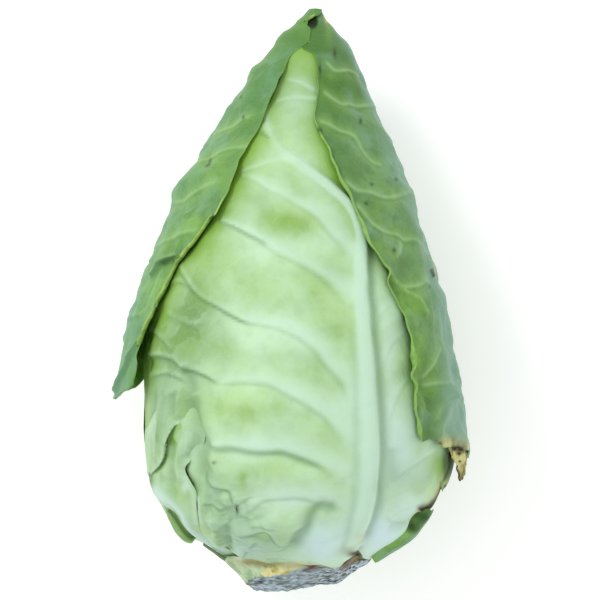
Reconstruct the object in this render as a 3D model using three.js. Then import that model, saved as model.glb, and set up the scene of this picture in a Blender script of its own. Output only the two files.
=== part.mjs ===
// A pointed cabbage as it lies on a table: a cut stump, a closed heart and the outer leaves
// that wrap it. Millimetres. +Y runs from the cut stump to the point, +Z is up and the table is
// z = 0. The origin is on the table, under the middle of the cabbage.
//
// Every surface is a height above the heart's own surface. A place on the heart is an angle
// round its axis (0 faces up, 90 faces +X, 180 faces the table) and a share of its length.

import * as THREE from "three";

// Driving dimensions
const LENGTH = 242; // from the stump's cut to the point
const BELLY_RADIUS = 59; // of the heart, where it is widest
const DEPTH = 0.96; // the head is a little shallower than it is wide
const POINT_LEAN = 7; // the point leans this far towards +X
const LEAN_FROM = 0.7; // share of the length where the lean starts
const TILT = THREE.MathUtils.degToRad(8); // the axis slopes down to the point as it lies
const PRESSED = 2.5; // the underside is pressed flat by this much

// Leaves lie in layers on the heart: each is BLADE thick with AIR under it, and both shrink
// towards the point, where the leaves are thin.
const BLADE = 1.3;
const AIR = 1.2;
const THIN_FROM = 0.75; // share of the length where they start to shrink
const THIN_AT_POINT = 0.45; // what is left of them at the point
const layer = (number) => ({
  inner: number * (BLADE + AIR) - BLADE,
  outer: number * (BLADE + AIR),
});
const OUTERMOST = layer(4).outer;

// The heart's radius at shares of the length, as shares of its belly radius.
const HEART_START = 0.045;
const HEART_END = 0.985;
const HEART_PROFILE = [
  [0.03, 0.27],
  [HEART_START, 0.41],
  [0.09, 0.69],
  [0.15, 0.875],
  [0.22, 0.98],
  [0.29, 1.0],
  [0.36, 0.965],
  [0.44, 0.91],
  [0.52, 0.855],
  [0.6, 0.79],
  [0.68, 0.69],
  [0.76, 0.54],
  [0.84, 0.38],
  [0.9, 0.25],
  [0.94, 0.165],
  [HEART_END, 0.045],
  [1.0, 0.02],
];

const HEART_SIDES = 32;
const HEART_RINGS = 20;
const STUMP_SIDES = 30;
const LEAF_ACROSS = 14;
const LEAF_ALONG = 18;
const SCRAP_ACROSS = 6;
const SCRAP_ALONG = 6;

// The smooth curve y(x) through points, its slope at each being that between its neighbours.
function curveThrough(points) {
  const last = points.length - 1;
  const slope = (i) => {
    const [a, b] = [points[Math.max(i - 1, 0)], points[Math.min(i + 1, last)]];
    return (b[1] - a[1]) / (b[0] - a[0]);
  };
  return (x) => {
    let i = 0;
    while (i < last - 1 && x > points[i + 1][0]) i += 1;
    const [[x0, y0], [x1, y1]] = [points[i], points[i + 1]];
    const [w, t] = [x1 - x0, (x - x0) / (x1 - x0)];
    const [t2, t3] = [t * t, t * t * t];
    return (
      (2 * t3 - 3 * t2 + 1) * y0 +
      (t3 - 2 * t2 + t) * w * slope(i) +
      (3 * t2 - 2 * t3) * y1 +
      (t3 - t2) * w * slope(i + 1)
    );
  };
}

const heartRadius = curveThrough(
  HEART_PROFILE.map(([share, radius]) => [share, radius * BELLY_RADIUS]),
);

// The side shift of the axis at a share of the length.
function lean(share) {
  const past = Math.max(share - LEAN_FROM, 0) / (1 - LEAN_FROM);
  return POINT_LEAN * past ** 1.5;
}

// The share of a layer's height that is left at a share of the length.
function thinning(share) {
  return 1 - (1 - THIN_AT_POINT) * THREE.MathUtils.smoothstep(share, THIN_FROM, 1);
}

const ACROSS = new THREE.Vector3(1, 0, 0);

// A point above the heart's surface, before it is set down: at an angle round the axis in degrees,
// a share of the length, and a height off the surface along its normal.
function onHead(degrees, share, height) {
  const step = 1e-4;
  const rise = (heartRadius(share + step) - heartRadius(share - step)) / (2 * step * LENGTH);
  const along = (height * thinning(share)) / Math.hypot(1, rise);
  const radius = heartRadius(share) + along;
  const angle = THREE.MathUtils.degToRad(degrees);
  return new THREE.Vector3(
    lean(share) + radius * Math.sin(angle),
    share * LENGTH - along * rise,
    radius * Math.cos(angle) * DEPTH,
  ).applyAxisAngle(ACROSS, -TILT);
}

// How high the axis starts, so that the outermost layer is PRESSED into the table.
const AXIS_HEIGHT = (() => {
  let lowest = 0;
  for (let share = HEART_START; share < HEART_END; share += 0.005)
    lowest = Math.min(lowest, onHead(180, share, OUTERMOST).z);
  return -lowest - PRESSED;
})();

// A point above the heart's surface, set down on the table, which presses the layers flat without
// closing the air between them.
function onTable(degrees, share, height) {
  const point = onHead(degrees, share, height);
  point.z = Math.max(point.z + AXIS_HEIGHT, OUTERMOST - height);
  return point;
}

function solid(points, faces) {
  const geometry = new THREE.BufferGeometry();
  geometry.setAttribute(
    "position",
    new THREE.Float32BufferAttribute(points.flatMap((p) => [p.x, p.y, p.z]), 3),
  );
  geometry.setIndex(faces.flat());
  geometry.computeVertexNormals();
  return geometry;
}

// Rings of points closed by a point at each end. Rings run the same way round, and up the stack.
function stackedRings(rings, start, end) {
  const sides = rings[0].length;
  const points = [...rings.flat(), start, end];
  const [first, last] = [points.length - 2, points.length - 1];
  const faces = [];
  for (let i = 0; i < sides; i += 1) {
    const next = (i + 1) % sides;
    faces.push([first, next, i]);
    for (let r = 0; r < rings.length - 1; r += 1) {
      const [a, b] = [r * sides + i, r * sides + next];
      faces.push([a, b + sides, a + sides], [a, b, b + sides]);
    }
    const top = (rings.length - 1) * sides;
    faces.push([last, top + i, top + next]);
  }
  return solid(points, faces);
}

// A leaf: a sheet between two margins, each a curve through [degrees, share] points from the
// base to the tip, with its inner and outer faces at the heights of its layer. lift(degrees,
// share) raises both faces where the leaf stands off the head.
function leaf({ left, right, inner, outer, lift, across = LEAF_ACROSS, along = LEAF_ALONG }) {
  const margin = (list) => new THREE.SplineCurve(list.map(([a, s]) => new THREE.Vector2(a, s)));
  const [from, to] = [margin(left), margin(right)];
  const [columns, rows] = [across + 1, along + 1];
  const faceAt = (height) => {
    const points = [];
    for (let j = 0; j < rows; j += 1) {
      const [a, b] = [from.getPoint(j / along), to.getPoint(j / along)];
      for (let i = 0; i < columns; i += 1) {
        const place = a.clone().lerp(b, i / across);
        const raised = lift ? lift(place.x, place.y) : 0;
        points.push(onTable(place.x, place.y, height + raised));
      }
    }
    return points;
  };
  const points = [...faceAt(outer), ...faceAt(inner)];
  const back = columns * rows;
  const faces = [];
  for (let j = 0; j < along; j += 1)
    for (let i = 0; i < across; i += 1) {
      const [a, b] = [j * columns + i, (j + 1) * columns + i];
      faces.push([a, b + 1, b], [a, a + 1, b + 1]);
      faces.push([a + back, b + back, b + 1 + back], [a + back, b + 1 + back, a + 1 + back]);
    }
  const rim = [];
  for (let i = 0; i < across; i += 1) rim.push(i);
  for (let j = 0; j < along; j += 1) rim.push(j * columns + across);
  for (let i = across; i > 0; i -= 1) rim.push(along * columns + i);
  for (let j = along; j > 0; j -= 1) rim.push(j * columns);
  rim.forEach((a, k) => {
    const b = rim[(k + 1) % rim.length];
    faces.push([a, b + back, b], [a, a + back, b + back]);
  });
  return solid(points, faces);
}

// A smooth bump of a height round a place, reach degrees wide and span shares long.
function bump(height, degrees, share, reach, span) {
  return (a, s) => height * Math.exp(-(((a - degrees) / reach) ** 2) - ((s - share) / span) ** 2);
}

function heart() {
  const rings = [];
  for (let r = 0; r <= HEART_RINGS; r += 1) {
    const share = HEART_START + ((HEART_END - HEART_START) * r) / HEART_RINGS;
    rings.push(
      Array.from({ length: HEART_SIDES }, (_, i) => onTable((360 * i) / HEART_SIDES, share, 0)),
    );
  }
  const middle = (ring) =>
    ring.reduce((sum, p) => sum.add(p), new THREE.Vector3()).divideScalar(ring.length);
  return stackedRings(rings, middle(rings[0]), middle(rings[HEART_RINGS]));
}

// The cut stump: a short root end, lobed by the scars of the leaves trimmed off it. Its cut is
// oblique, so that it faces a little upwards.
const STUMP_SCARS = 5;
const SCAR_DEPTH = 1.2;
const STUMP_CUT = 2; // height of the cut's middle along the axis
const STUMP_TOP = 10.2;
const STUMP_RINGS = [
  { y: STUMP_CUT, radius: 21, slope: 0.16 },
  { y: 5, radius: 22, slope: 0.08 },
  { y: STUMP_TOP, radius: 22.5, slope: 0 },
];

function stump() {
  const place = (x, y, z) => {
    const point = new THREE.Vector3(x, y, z).applyAxisAngle(ACROSS, -TILT);
    point.z += AXIS_HEIGHT;
    return point;
  };
  const rings = STUMP_RINGS.map(({ y, radius, slope }) =>
    Array.from({ length: STUMP_SIDES }, (_, i) => {
      const angle = (2 * Math.PI * i) / STUMP_SIDES;
      const r = radius + SCAR_DEPTH * Math.cos(STUMP_SCARS * angle);
      const [x, z] = [r * Math.sin(angle), r * Math.cos(angle) * DEPTH];
      return place(x, y + slope * z, z);
    }),
  );
  return stackedRings(rings, place(0, STUMP_CUT, 0), place(0, STUMP_TOP, 0));
}

// The pale leaf that shows in front, torn at both shoulders.
const frontLeaf = {
  left: [[-38, 0.045], [-50, 0.11], [-48, 0.2], [-62, 0.28], [-96, 0.35], [-106, 0.47],
    [-100, 0.62], [-86, 0.78], [-60, 0.9], [-20, 0.955]],
  right: [[50, 0.045], [64, 0.1], [76, 0.165], [76, 0.25], [82, 0.42], [80, 0.6],
    [70, 0.78], [50, 0.9], [20, 0.955]],
  ...layer(2),
};

// The younger leaf under it, which shows through the tear at its lower left.
const innerLeftLeaf = {
  left: [[-95, 0.045], [-110, 0.12], [-118, 0.22], [-115, 0.32], [-100, 0.4]],
  right: [[-40, 0.045], [-42, 0.12], [-40, 0.22], [-42, 0.32], [-60, 0.4]],
  ...layer(1),
};

// The outer leaves that wrap the sides and meet at the point. The left one ends in a flap that
// stands off the head.
const FLAP = bump(12, -80, 0.34, 17, 0.09);
const leftWrapperLeaf = {
  left: [[-150, 0.045], [-165, 0.13], [-172, 0.25], [-174, 0.38], [-174, 0.5], [-174, 0.63],
    [-174, 0.78], [-174, 0.9], [-174, 0.985]],
  right: [[-118, 0.045], [-124, 0.14], [-112, 0.27], [-80, 0.335], [-68, 0.47], [-48, 0.62],
    [-30, 0.78], [-19, 0.9], [6, 0.985]],
  lift: FLAP,
  ...layer(3),
};
const rightWrapperLeaf = {
  left: [[112, 0.045], [110, 0.12], [94, 0.2], [52, 0.26], [44, 0.4], [37, 0.56],
    [22, 0.74], [12, 0.88], [12, 0.98]],
  right: [[150, 0.045], [165, 0.12], [174, 0.22], [176, 0.32], [176, 0.45], [176, 0.6],
    [176, 0.75], [176, 0.88], [176, 0.98]],
  ...layer(3),
};

// The outermost leaf, which the cabbage lies on.
const backLeaf = {
  left: [[150, 0.045], [128, 0.12], [112, 0.22], [108, 0.35], [112, 0.5], [122, 0.65],
    [140, 0.78], [165, 0.86]],
  right: [[214, 0.045], [232, 0.12], [246, 0.22], [252, 0.35], [248, 0.5], [238, 0.65],
    [222, 0.78], [195, 0.86]],
  ...layer(4),
};

// What is left of two older leaves that were torn off near the stump.
const lowerLeftLeaf = {
  left: [[-108, 0.05], [-112, 0.1], [-106, 0.15]],
  right: [[-72, 0.05], [-76, 0.1], [-88, 0.15]],
  across: SCRAP_ACROSS,
  along: SCRAP_ALONG,
  ...layer(3),
};
const lowerRightLeaf = {
  left: [[54, 0.05], [66, 0.09], [78, 0.145]],
  right: [[100, 0.05], [100, 0.09], [94, 0.145]],
  across: SCRAP_ACROSS,
  along: SCRAP_ALONG,
  ...layer(3),
};

const LEAF_GREEN = 0x7da864;
const PALE_GREEN = 0xbfdcb0;
const STUMP_GREY = 0xa6a58f;

const cabbage = new THREE.Group();

function piece(name, geometry, colour, roughness) {
  const material = new THREE.MeshStandardMaterial({ color: colour, roughness, metalness: 0 });
  const mesh = new THREE.Mesh(geometry, material);
  mesh.name = name;
  cabbage.add(mesh);
}

piece("stump", stump(), STUMP_GREY, 0.85);
piece("heart", heart(), PALE_GREEN, 0.5);
piece("inner_left_leaf", leaf(innerLeftLeaf), PALE_GREEN, 0.45);
piece("front_leaf", leaf(frontLeaf), PALE_GREEN, 0.45);
piece("left_wrapper_leaf", leaf(leftWrapperLeaf), LEAF_GREEN, 0.5);
piece("right_wrapper_leaf", leaf(rightWrapperLeaf), LEAF_GREEN, 0.5);
piece("back_leaf", leaf(backLeaf), LEAF_GREEN, 0.5);
piece("lower_left_leaf", leaf(lowerLeftLeaf), LEAF_GREEN, 0.5);
piece("lower_right_leaf", leaf(lowerRightLeaf), LEAF_GREEN, 0.5);

// The origin goes under the middle of the cabbage.
const middle = new THREE.Box3().setFromObject(cabbage).getCenter(new THREE.Vector3());
cabbage.position.set(-middle.x, -middle.y, 0);

export default cabbage;
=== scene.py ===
"""A pointed cabbage that lies on its back: its leaves are thin closed sheets laid round one head.

A place on the head is an angle round its axis (0 up, 90 degrees towards +X, 180 down) and a
share of its length from the stump's cut to the point. Every leaf is a grid of such places, raised
off the head's skin. Outlines, veins and folds are given in millimetres as seen from straight
above: x from the head's axis to the right, y from the stump's cut towards the point.
"""

from functools import lru_cache

import bpy
import numpy as np
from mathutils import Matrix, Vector


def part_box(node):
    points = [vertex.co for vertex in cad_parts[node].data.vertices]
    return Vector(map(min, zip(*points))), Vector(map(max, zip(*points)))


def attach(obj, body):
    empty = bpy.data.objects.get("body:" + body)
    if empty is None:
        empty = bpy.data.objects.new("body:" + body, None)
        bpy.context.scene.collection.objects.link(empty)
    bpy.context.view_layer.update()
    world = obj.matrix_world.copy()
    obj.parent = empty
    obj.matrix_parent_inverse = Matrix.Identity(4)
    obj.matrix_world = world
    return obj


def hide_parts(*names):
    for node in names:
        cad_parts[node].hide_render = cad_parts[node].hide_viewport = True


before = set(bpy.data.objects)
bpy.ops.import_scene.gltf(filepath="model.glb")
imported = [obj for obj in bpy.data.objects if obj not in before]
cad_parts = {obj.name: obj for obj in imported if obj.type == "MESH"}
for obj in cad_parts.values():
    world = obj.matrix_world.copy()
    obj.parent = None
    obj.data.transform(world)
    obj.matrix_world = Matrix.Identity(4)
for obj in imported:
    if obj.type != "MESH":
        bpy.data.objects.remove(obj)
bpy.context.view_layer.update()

# ------------------------------------------------------------------ sizes
MM = 0.001
LENGTH = 242 * MM
TILT = np.radians(8)  # the axis slopes down to the point
DEPTH = 0.96  # how deep the head is for its width
GIRTH = 55 * MM  # half width of the head on average, to turn angles into lengths
EYE_HEIGHT = 1.06  # of the camera over the table
SEEN_PLANE = 0.06  # outlines seen from above are true to size at this height
UNDERSIDE = 5 * MM  # how far the outermost leaf's face stands off the skin
LEAF = 0.8 * MM  # thickness of a leaf
LEAF_EDGE = 0.45 * MM  # and at its margin
WRAP = 2.4 * MM  # how far the wrapping leaves stand off the skin

stump_low, stump_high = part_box("stump")
AXIS_START = np.array(
    [
        (stump_low.x + stump_high.x) / 2,
        stump_low.y + 3.7 * MM,
        stump_high.z - 21.1 * MM,
    ]
)
EYE = np.array([AXIS_START[0] + 0.8 * MM, stump_low.y + 119.3 * MM, EYE_HEIGHT])

# share of the length, half width of the skin in mm, sideways shift of the axis in mm
SKIN = np.array(
    [
        (0.00, 6.0, 0.0),
        (0.03, 19.0, 0.0),
        (0.06, 34.0, 0.0),
        (0.088, 45.0, 0.0),
        (0.12, 52.0, 0.0),
        (0.165, 57.5, 0.0),
        (0.22, 61.0, 0.2),
        (0.29, 62.4, 0.8),
        (0.37, 61.6, 0.6),
        (0.45, 58.9, 0.0),
        (0.55, 53.6, -1.2),
        (0.63, 48.4, -2.0),
        (0.70, 42.4, -1.4),
        (0.78, 31.6, 0.6),
        (0.86, 22.2, 2.9),
        (0.92, 13.6, 4.9),
        (0.96, 6.4, 6.4),
        (0.985, 2.0, 7.4),
        (1.00, 0.3, 7.8),
    ]
)

# how far the wrappers stand off further at the sides: share of the length, mm
LEFT_FLARE = [(0.3, 10.5), (0.345, 8.8), (0.38, 7.4), (0.44, 6.8), (0.48, 6.8), (0.515, 5.0),
              (0.56, 1.0), (0.6, 0), (1, 0)]
RIGHT_FLARE = [(0.2, 6.4), (0.24, 5.7), (0.26, 3.6), (0.275, 2.4), (0.31, 0.7), (0.345, 0),
               (0.38, -1.0), (0.41, -1.6), (0.445, -0.6), (0.5, -0.2), (0.55, 0), (1, 0)]


# ------------------------------------------------------------------ curves and noise
def curve(knots, values, at):
    """Values of a smooth curve at the places `at`: between two knots it is the cubic that has, at
    each knot, the slope of the line between the knot's two neighbours."""
    knots, values = np.asarray(knots, float), np.asarray(values, float)
    steps = np.diff(knots)
    tall = (-1,) + (1,) * (values.ndim - 1)
    ends = np.diff(values, axis=0)[[0, -1]] / steps[[0, -1]].reshape(tall)
    inner = (values[2:] - values[:-2]) / (knots[2:] - knots[:-2]).reshape(tall)
    slopes = np.concatenate([ends[:1], inner, ends[1:]])
    at = np.asarray(at, float)
    k = np.clip(np.searchsorted(knots, at) - 1, 0, len(knots) - 2)
    shape = at.shape + (1,) * (values.ndim - 1)
    w = steps[k].reshape(shape)
    t = np.clip((at - knots[k]) / steps[k], 0, 1).reshape(shape)
    return (
        (2 * t**3 - 3 * t**2 + 1) * values[k]
        + (t**3 - 2 * t**2 + t) * w * slopes[k]
        + (3 * t**2 - 2 * t**3) * values[k + 1]
        + (t**3 - t**2) * w * slopes[k + 1]
    )


def smooth(low, high, x):
    """0 below low, 1 above high and 3t^2 - 2t^3 between."""
    t = np.clip((x - low) / (high - low), 0, 1)
    return t * t * (3 - 2 * t)


def bell(x, width):
    """exp(-(x / width)^2)."""
    return np.exp(-((x / width) ** 2))


def noise(points, size, seed):
    """Smooth noise from -1 to 1 with bumps of a size: random values at the corners of a cubic
    lattice, blended between corners by 3t^2 - 2t^3."""
    values = np.random.default_rng(seed).uniform(-1, 1, 4096)
    q = np.asarray(points, float) / size
    cell = np.floor(q).astype(np.int64)
    t = q - cell
    t = t * t * (3 - 2 * t)
    total = 0
    for dx in (0, 1):
        for dy in (0, 1):
            for dz in (0, 1):
                c = cell + (dx, dy, dz)
                key = (c[..., 0] * 73856093) ^ (c[..., 1] * 19349663) ^ (c[..., 2] * 83492791)
                share = np.abs((1 - dx, 1 - dy, 1 - dz) - t).prod(-1)
                total = total + values[key % 4096] * share
    return total


def unit(v):
    """v divided by its length."""
    return v / np.maximum(np.linalg.norm(v, axis=-1, keepdims=True), 1e-12)


def ease(rows):
    """Each row's values averaged with those of its four neighbours, the nearer ones more."""
    padded = np.concatenate([rows[:1]] * 2 + [rows] + [rows[-1:]] * 2)
    weights = (1, 2, 3, 2, 1)
    return sum(w * padded[k : k + len(rows)] for k, w in enumerate(weights)) / sum(weights)


# ------------------------------------------------------------------ the head
def skin(theta, share):
    """Points of the head's skin: an ellipse round the axis, its half width a curve of the share
    and its half height DEPTH of that. The axis runs from AXIS_START, sloping down by TILT."""
    half, shift = np.moveaxis(curve(SKIN[:, 0], SKIN[:, 1:] * MM, share), -1, 0)
    x = shift + half * np.sin(theta)
    y = share * LENGTH
    z = half * DEPTH * np.cos(theta)
    turned = np.stack(
        [x, y * np.cos(TILT) + z * np.sin(TILT), z * np.cos(TILT) - y * np.sin(TILT)], -1
    )
    return turned + AXIS_START


def skin_normal(theta, share):
    """The cross product of the skin's two slopes, taken over small steps, to length 1."""
    step = 1e-3
    round_it = skin(theta + step, share) - skin(theta - step, share)
    along = skin(theta, share + step) - skin(theta, share - step)
    return unit(np.cross(round_it, along))


def over_skin(theta, share, height):
    """Points at a height over the skin along its normal, which the table presses flat: z is a
    smooth maximum of its own value and the level that the layers above this one leave."""
    points = skin(theta, share) + skin_normal(theta, share) * np.asarray(height)[..., None]
    level = np.maximum(UNDERSIDE - np.asarray(height), 0)
    give = 0.5 * MM
    over = (points[..., 2] - level) / give
    points[..., 2] = level + give * np.logaddexp(0, over)
    return points


def thinning(share):
    """What is left of a leaf's height over the skin: all of it, then half towards the point."""
    return 1 - 0.5 * smooth(0.8, 1.0, share)


def as_seen(points):
    """Where the lines from the eye through the points meet the plane at SEEN_PLANE, as x from the
    axis and y from the stump's cut."""
    reach = (EYE[2] - SEEN_PLANE) / (EYE[2] - points[..., 2:3])
    flat = EYE[:2] + (points[..., :2] - EYE[:2]) * reach
    return flat - (AXIS_START[0], stump_low.y)


def front_level(theta, share):
    """The pale front leaf lies on the skin."""
    return 0 * theta


def left_level(theta, share):
    """The left wrapper lies WRAP off the skin, and its lower half flares away at the side."""
    flare = curve(*np.transpose(LEFT_FLARE), share) * MM
    return WRAP * thinning(share) + flare * bell(np.degrees(theta) + 90, 24)


def right_level(theta, share):
    """The right wrapper lies a little closer than the left one, which overlaps it at the point, and
    its lower end stands off the head."""
    flare = curve(*np.transpose(RIGHT_FLARE), share) * MM
    close = (WRAP - 0.2 * MM) * thinning(share) - 0.6 * MM * smooth(0.88, 0.94, share)
    return close + flare * bell(np.degrees(theta) - 92, 22)


def strip_level(theta, share):
    """The strip beside the front leaf's edge starts under it and stands out further round."""
    return -0.6 * MM + 4 * MM * smooth(66, 96, np.degrees(theta))


def tear_level(theta, share):
    """The dried end of the right wrapper hangs just under its free lower edge."""
    return 1.6 * MM + 6.6 * MM * bell(np.degrees(theta) - 95, 24)


def scrap_level(theta, share):
    """The scraps stand off the foot of the head, further round it the more."""
    return -1.0 * MM + 6 * MM * smooth(56, 92, abs(np.degrees(theta)))


def sliver_level(theta, share):
    """The narrow stump of a torn leaf stands off the head's foot."""
    return 1.5 * MM + 2.5 * MM * smooth(58, 90, abs(np.degrees(theta)))


@lru_cache(maxsize=None)
def seen_grid(level):
    """Fine grid of places over the upper side, and where each is seen at the height of a level.
    What faces away from the eye is left out."""
    theta, share = np.meshgrid(np.radians(np.arange(-104, 104.1, 0.4)), np.arange(0.02, 1, 0.0016))
    points = over_skin(theta, share, level(theta, share))
    in_sight = (grid_normals(points) * (EYE - points)).sum(-1) > 0
    return np.stack([theta, share], -1)[in_sight], as_seen(points)[in_sight]


def places(outline, level=front_level):
    """The place of each outline point seen from above: that of the nearest point of seen_grid."""
    place, seen = seen_grid(level)
    nearest = [np.argmin(((seen - np.array(p) * MM) ** 2).sum(1)) for p in outline]
    return place[nearest]


def degrees(*points):
    """Places given as (degrees, share)."""
    points = np.array(points, float)
    points[:, 0] = np.radians(points[:, 0])
    return points


def run(points, count, crowd=1):
    """A smooth line of `count` places through a few, even in its length on the head, or with a
    crowd over 1 closer together towards its start."""
    points = np.asarray(points, float)
    steps = np.linalg.norm(np.diff(points * (GIRTH, LENGTH), axis=0), axis=1)
    points = points[np.concatenate([[True], steps > 0.05 * MM])]
    steps = steps[steps > 0.05 * MM]
    reach = np.concatenate([[0], np.cumsum(steps)])
    return curve(reach, points, reach[-1] * np.linspace(0, 1, count) ** crowd)


def grid_normals(points):
    """Unit normals of a grid of points: the cross product of its row and column slopes."""
    return unit(np.cross(np.gradient(points, axis=1), np.gradient(points, axis=0)))


# ------------------------------------------------------------------ a leaf's surface
class Sheet:
    """A leaf's outer face as a grid of places: column 0 runs up the left margin, the last column up
    the right one, and each row is a straight blend between them. level(angle, share) is the leaf's
    height over the skin; veins, folds and bumps add to relief. marks are values from 0 to 1 for
    the finish. spread moves the columns, given as shares of the width, and crowd the rows.
    bottom is a line of places that the bottom row bends to. Both margins are a little wavy."""

    def __init__(self, left, right, across, along, level, spread=lambda t: t, crowd=1, bottom=None,
                 wavy=0.25 * MM):
        a, b = run(left, along, crowd)[:, None], run(right, along, crowd)[:, None]
        t = np.linspace(0, 1, across)
        place = a + (b - a) * spread(t[:, None])
        if bottom is not None:
            off = np.interp(place[0, :, 0], *bottom.T) - place[0, :, 1]
            place[..., 1] += off * np.linspace(1, 0, along)[:, None] ** 6
        shiver = noise(place[..., 1:] * (LENGTH, 0, 0) + (0, 9, 0), 4.5 * MM, 17)
        place[..., 0] += wavy / GIRTH * shiver * (t**10 + (1 - t) ** 10)
        self.theta, self.share = np.moveaxis(place, -1, 0)
        self.level = level
        self.relief = np.zeros_like(self.theta)
        self.bare = over_skin(self.theta, self.share, level(self.theta, self.share))
        self.seen = as_seen(self.bare)
        drift = [noise(self.bare, 7 * MM, seed) for seed in (1, 2, 3)]
        self.strayed = self.bare + 0.45 * MM * np.stack(drift, -1)
        self.on_top = smooth(-0.4, 0.0, np.cos(self.theta))
        self.from_vein = np.full_like(self.theta, 1.0)
        steps = np.linalg.norm(np.diff(self.bare, axis=1), axis=2)
        self.from_left = np.concatenate([0 * steps[:, :1], np.cumsum(steps, axis=1)], 1)
        self.from_right = self.from_left[:, -1:] - self.from_left
        self.marks = {}
        self.rolls = {}

    def mark(self, name, values):
        """Lays values over a mark as coats of paint: what still shows through gets less."""
        coat = np.clip(values, 0, 1) + 0 * self.theta
        self.marks[name] = 1 - (1 - self.marks.get(name, 0)) * (1 - coat)

    def near(self, line, reach, samples=44):
        """For each grid point, strayed a little: its distance to a line of places, how far along
        the line its nearest point is (0 to 1), and whether it lies on the side of the leaf's tip
        (+1) or base (-1) of the line, or for a line that runs along the head, on its left (+1) or
        right (-1). Points further than reach get a distance of 1 m."""
        line = run(line, samples)
        path = over_skin(line[:, 0], line[:, 1], self.level(line[:, 0], line[:, 1]))
        up = skin_normal(line[:, 0], line[:, 1])
        sideways = line[-1, 0] - line[0, 0]
        crosses = abs(sideways) * GIRTH > 0.6 * abs(line[-1, 1] - line[0, 1]) * LENGTH
        turn = np.sign(sideways) if crosses else 1
        flat = self.strayed.reshape(-1, 3)
        low, high = path.min(0) - reach, path.max(0) + reach
        close = ((flat > low) & (flat < high)).all(1).nonzero()[0]
        near = flat[close]
        best = np.full(len(near), 1.0)
        t_best = np.zeros(len(near))
        side_best = np.ones(len(near))
        for k in range(samples - 1):
            a, d = path[k], path[k + 1] - path[k]
            t = np.clip((near - a) @ d / (d @ d), 0, 1)
            off = near - a - t[:, None] * d
            distance = np.linalg.norm(off, axis=1)
            wins = distance < best
            best = np.where(wins, distance, best)
            t_best = np.where(wins, (k + t) / (samples - 1), t_best)
            side_best = np.where(wins, np.sign(off @ np.cross(up[k], d)) * turn, side_best)
        result = [np.full(len(flat), 1.0), np.zeros(len(flat)), np.ones(len(flat))]
        for whole, part in zip(result, (best, t_best, side_best)):
            whole[close] = part
        return [r.reshape(self.theta.shape) for r in result]

    def vein_and_highlight(self, line, width, rise, taper=0.35, pale=0.85, dark=0.5, reach=26 * MM):
        """One of the leaf's veins: a ridge that is a bell, wide towards the leaf's tip and steep towards
        its base, where a groove follows it. Its size shrinks along it to `taper` of its start, where it
        rises softly. It is painted pale, wider on the tip's side as a painted highlight, with painted
        shade in the groove."""
        distance, t, above = self.near(line, reach)
        size = (1 - (1 - taper) * t) * smooth(1, 0.9, t)
        start = smooth(0, 0.3, t)
        wide = np.maximum(width * size, 0.95 * MM)
        steep = np.maximum((0.85 - 0.35 * start) * wide, 0.95 * MM)
        ridge = bell(distance, np.where(above > 0, wide, steep))
        groove = bell(distance - steep - 0.3 * MM, np.maximum(0.25 * wide, 0.65 * MM)) * (above < 0)
        self.relief += rise * size * (ridge - 0.3 * groove * start) * smooth(-0.05, 0.06, t)
        # painted pale, wider on the tip's side as a painted highlight; painted shade in the groove
        painted = np.where(above > 0, 0.8 * wide, np.maximum(0.45 * wide, 0.75 * MM))
        strength = pale * (0.5 + 0.5 * size) * smooth(0, 0.1, size)
        self.mark("vein_and_highlight", strength * bell(distance, painted))
        self.mark("vein_and_highlight", 0.45 * strength * bell(distance, 2.4 * wide) * (above > 0))
        self.mark("crease_shade", dark * size * groove * start)
        self.from_vein = np.minimum(self.from_vein, distance)

    def fold(self, line, step, reach, dark=0.8, line_width=0.75 * MM):
        """A fold: the tip's side of the line stands higher by a step and falls back over a reach.
        From its rounded crest a steep wall drops into a dip on the other side. It fades at both
        ends."""
        distance, t, above = self.near(line, 4 * reach)
        ends = smooth(0, 0.12, t) * smooth(1, 0.88, t)
        crest = 0.8 * MM
        high = np.exp((crest - np.hypot(distance, crest)) / reach)
        low = 1.5 * bell(distance, 1.3 * MM) - 0.5 * bell(distance, 0.6 * reach)
        self.relief += step * ends * np.where(above > 0, high, low)
        # painted shade along the fold's foot, painted highlight on its crest
        self.mark("crease_shade", dark * ends * bell(distance * above + 0.8 * MM, line_width))
        self.mark("vein_and_highlight", 0.3 * dark * ends * bell(distance * above - 0.9 * MM, 0.9 * MM))

    def valley(self, line, depth, width, dark=0.3):
        """A soft valley, or with a negative depth a ridge: a bell across the line that fades at
        both ends."""
        distance, t, _ = self.near(line, 3 * width)
        across = bell(distance, width) * smooth(0, 0.15, t) * smooth(1, 0.85, t)
        self.relief -= depth * across
        # painted shade along the valley
        self.mark("crease_shade", dark * across)

    def stroke(self, name, line, width, strength=1.0):
        """A mark along a line seen from above, in mm: a bell across it that fades at both ends."""
        path = curve(np.arange(len(line)), line, np.linspace(0, len(line) - 1, 50))
        seen = self.seen.reshape(-1, 2) / MM
        close = ((seen > path.min(0) - 3 * width) & (seen < path.max(0) + 3 * width)).all(1)
        near, best, t_best = seen[close], 99.0, 0
        for k in range(49):
            d = path[k + 1] - path[k]
            t = np.clip((near - path[k]) @ d / (d @ d), 0, 1)
            distance = np.linalg.norm(near - path[k] - t[:, None] * d, axis=1)
            t_best = np.where(distance < best, (k + t) / 49, t_best)
            best = np.minimum(distance, best)
        values = np.zeros(len(seen))
        values[close] = bell(best, width) * smooth(0, 0.1, t_best) * smooth(1, 0.9, t_best)
        self.mark(name, strength * values.reshape(self.theta.shape) * self.on_top)

    def spot(self, name, x, y, half_x, half_y, strength=1.0):
        """A mark on the upper side: a soft ellipse about a point seen from above."""
        far = np.hypot((self.seen[..., 0] / MM - x) / half_x, (self.seen[..., 1] / MM - y) / half_y)
        self.mark(name, strength * bell(far, 1) * self.on_top)

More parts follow.
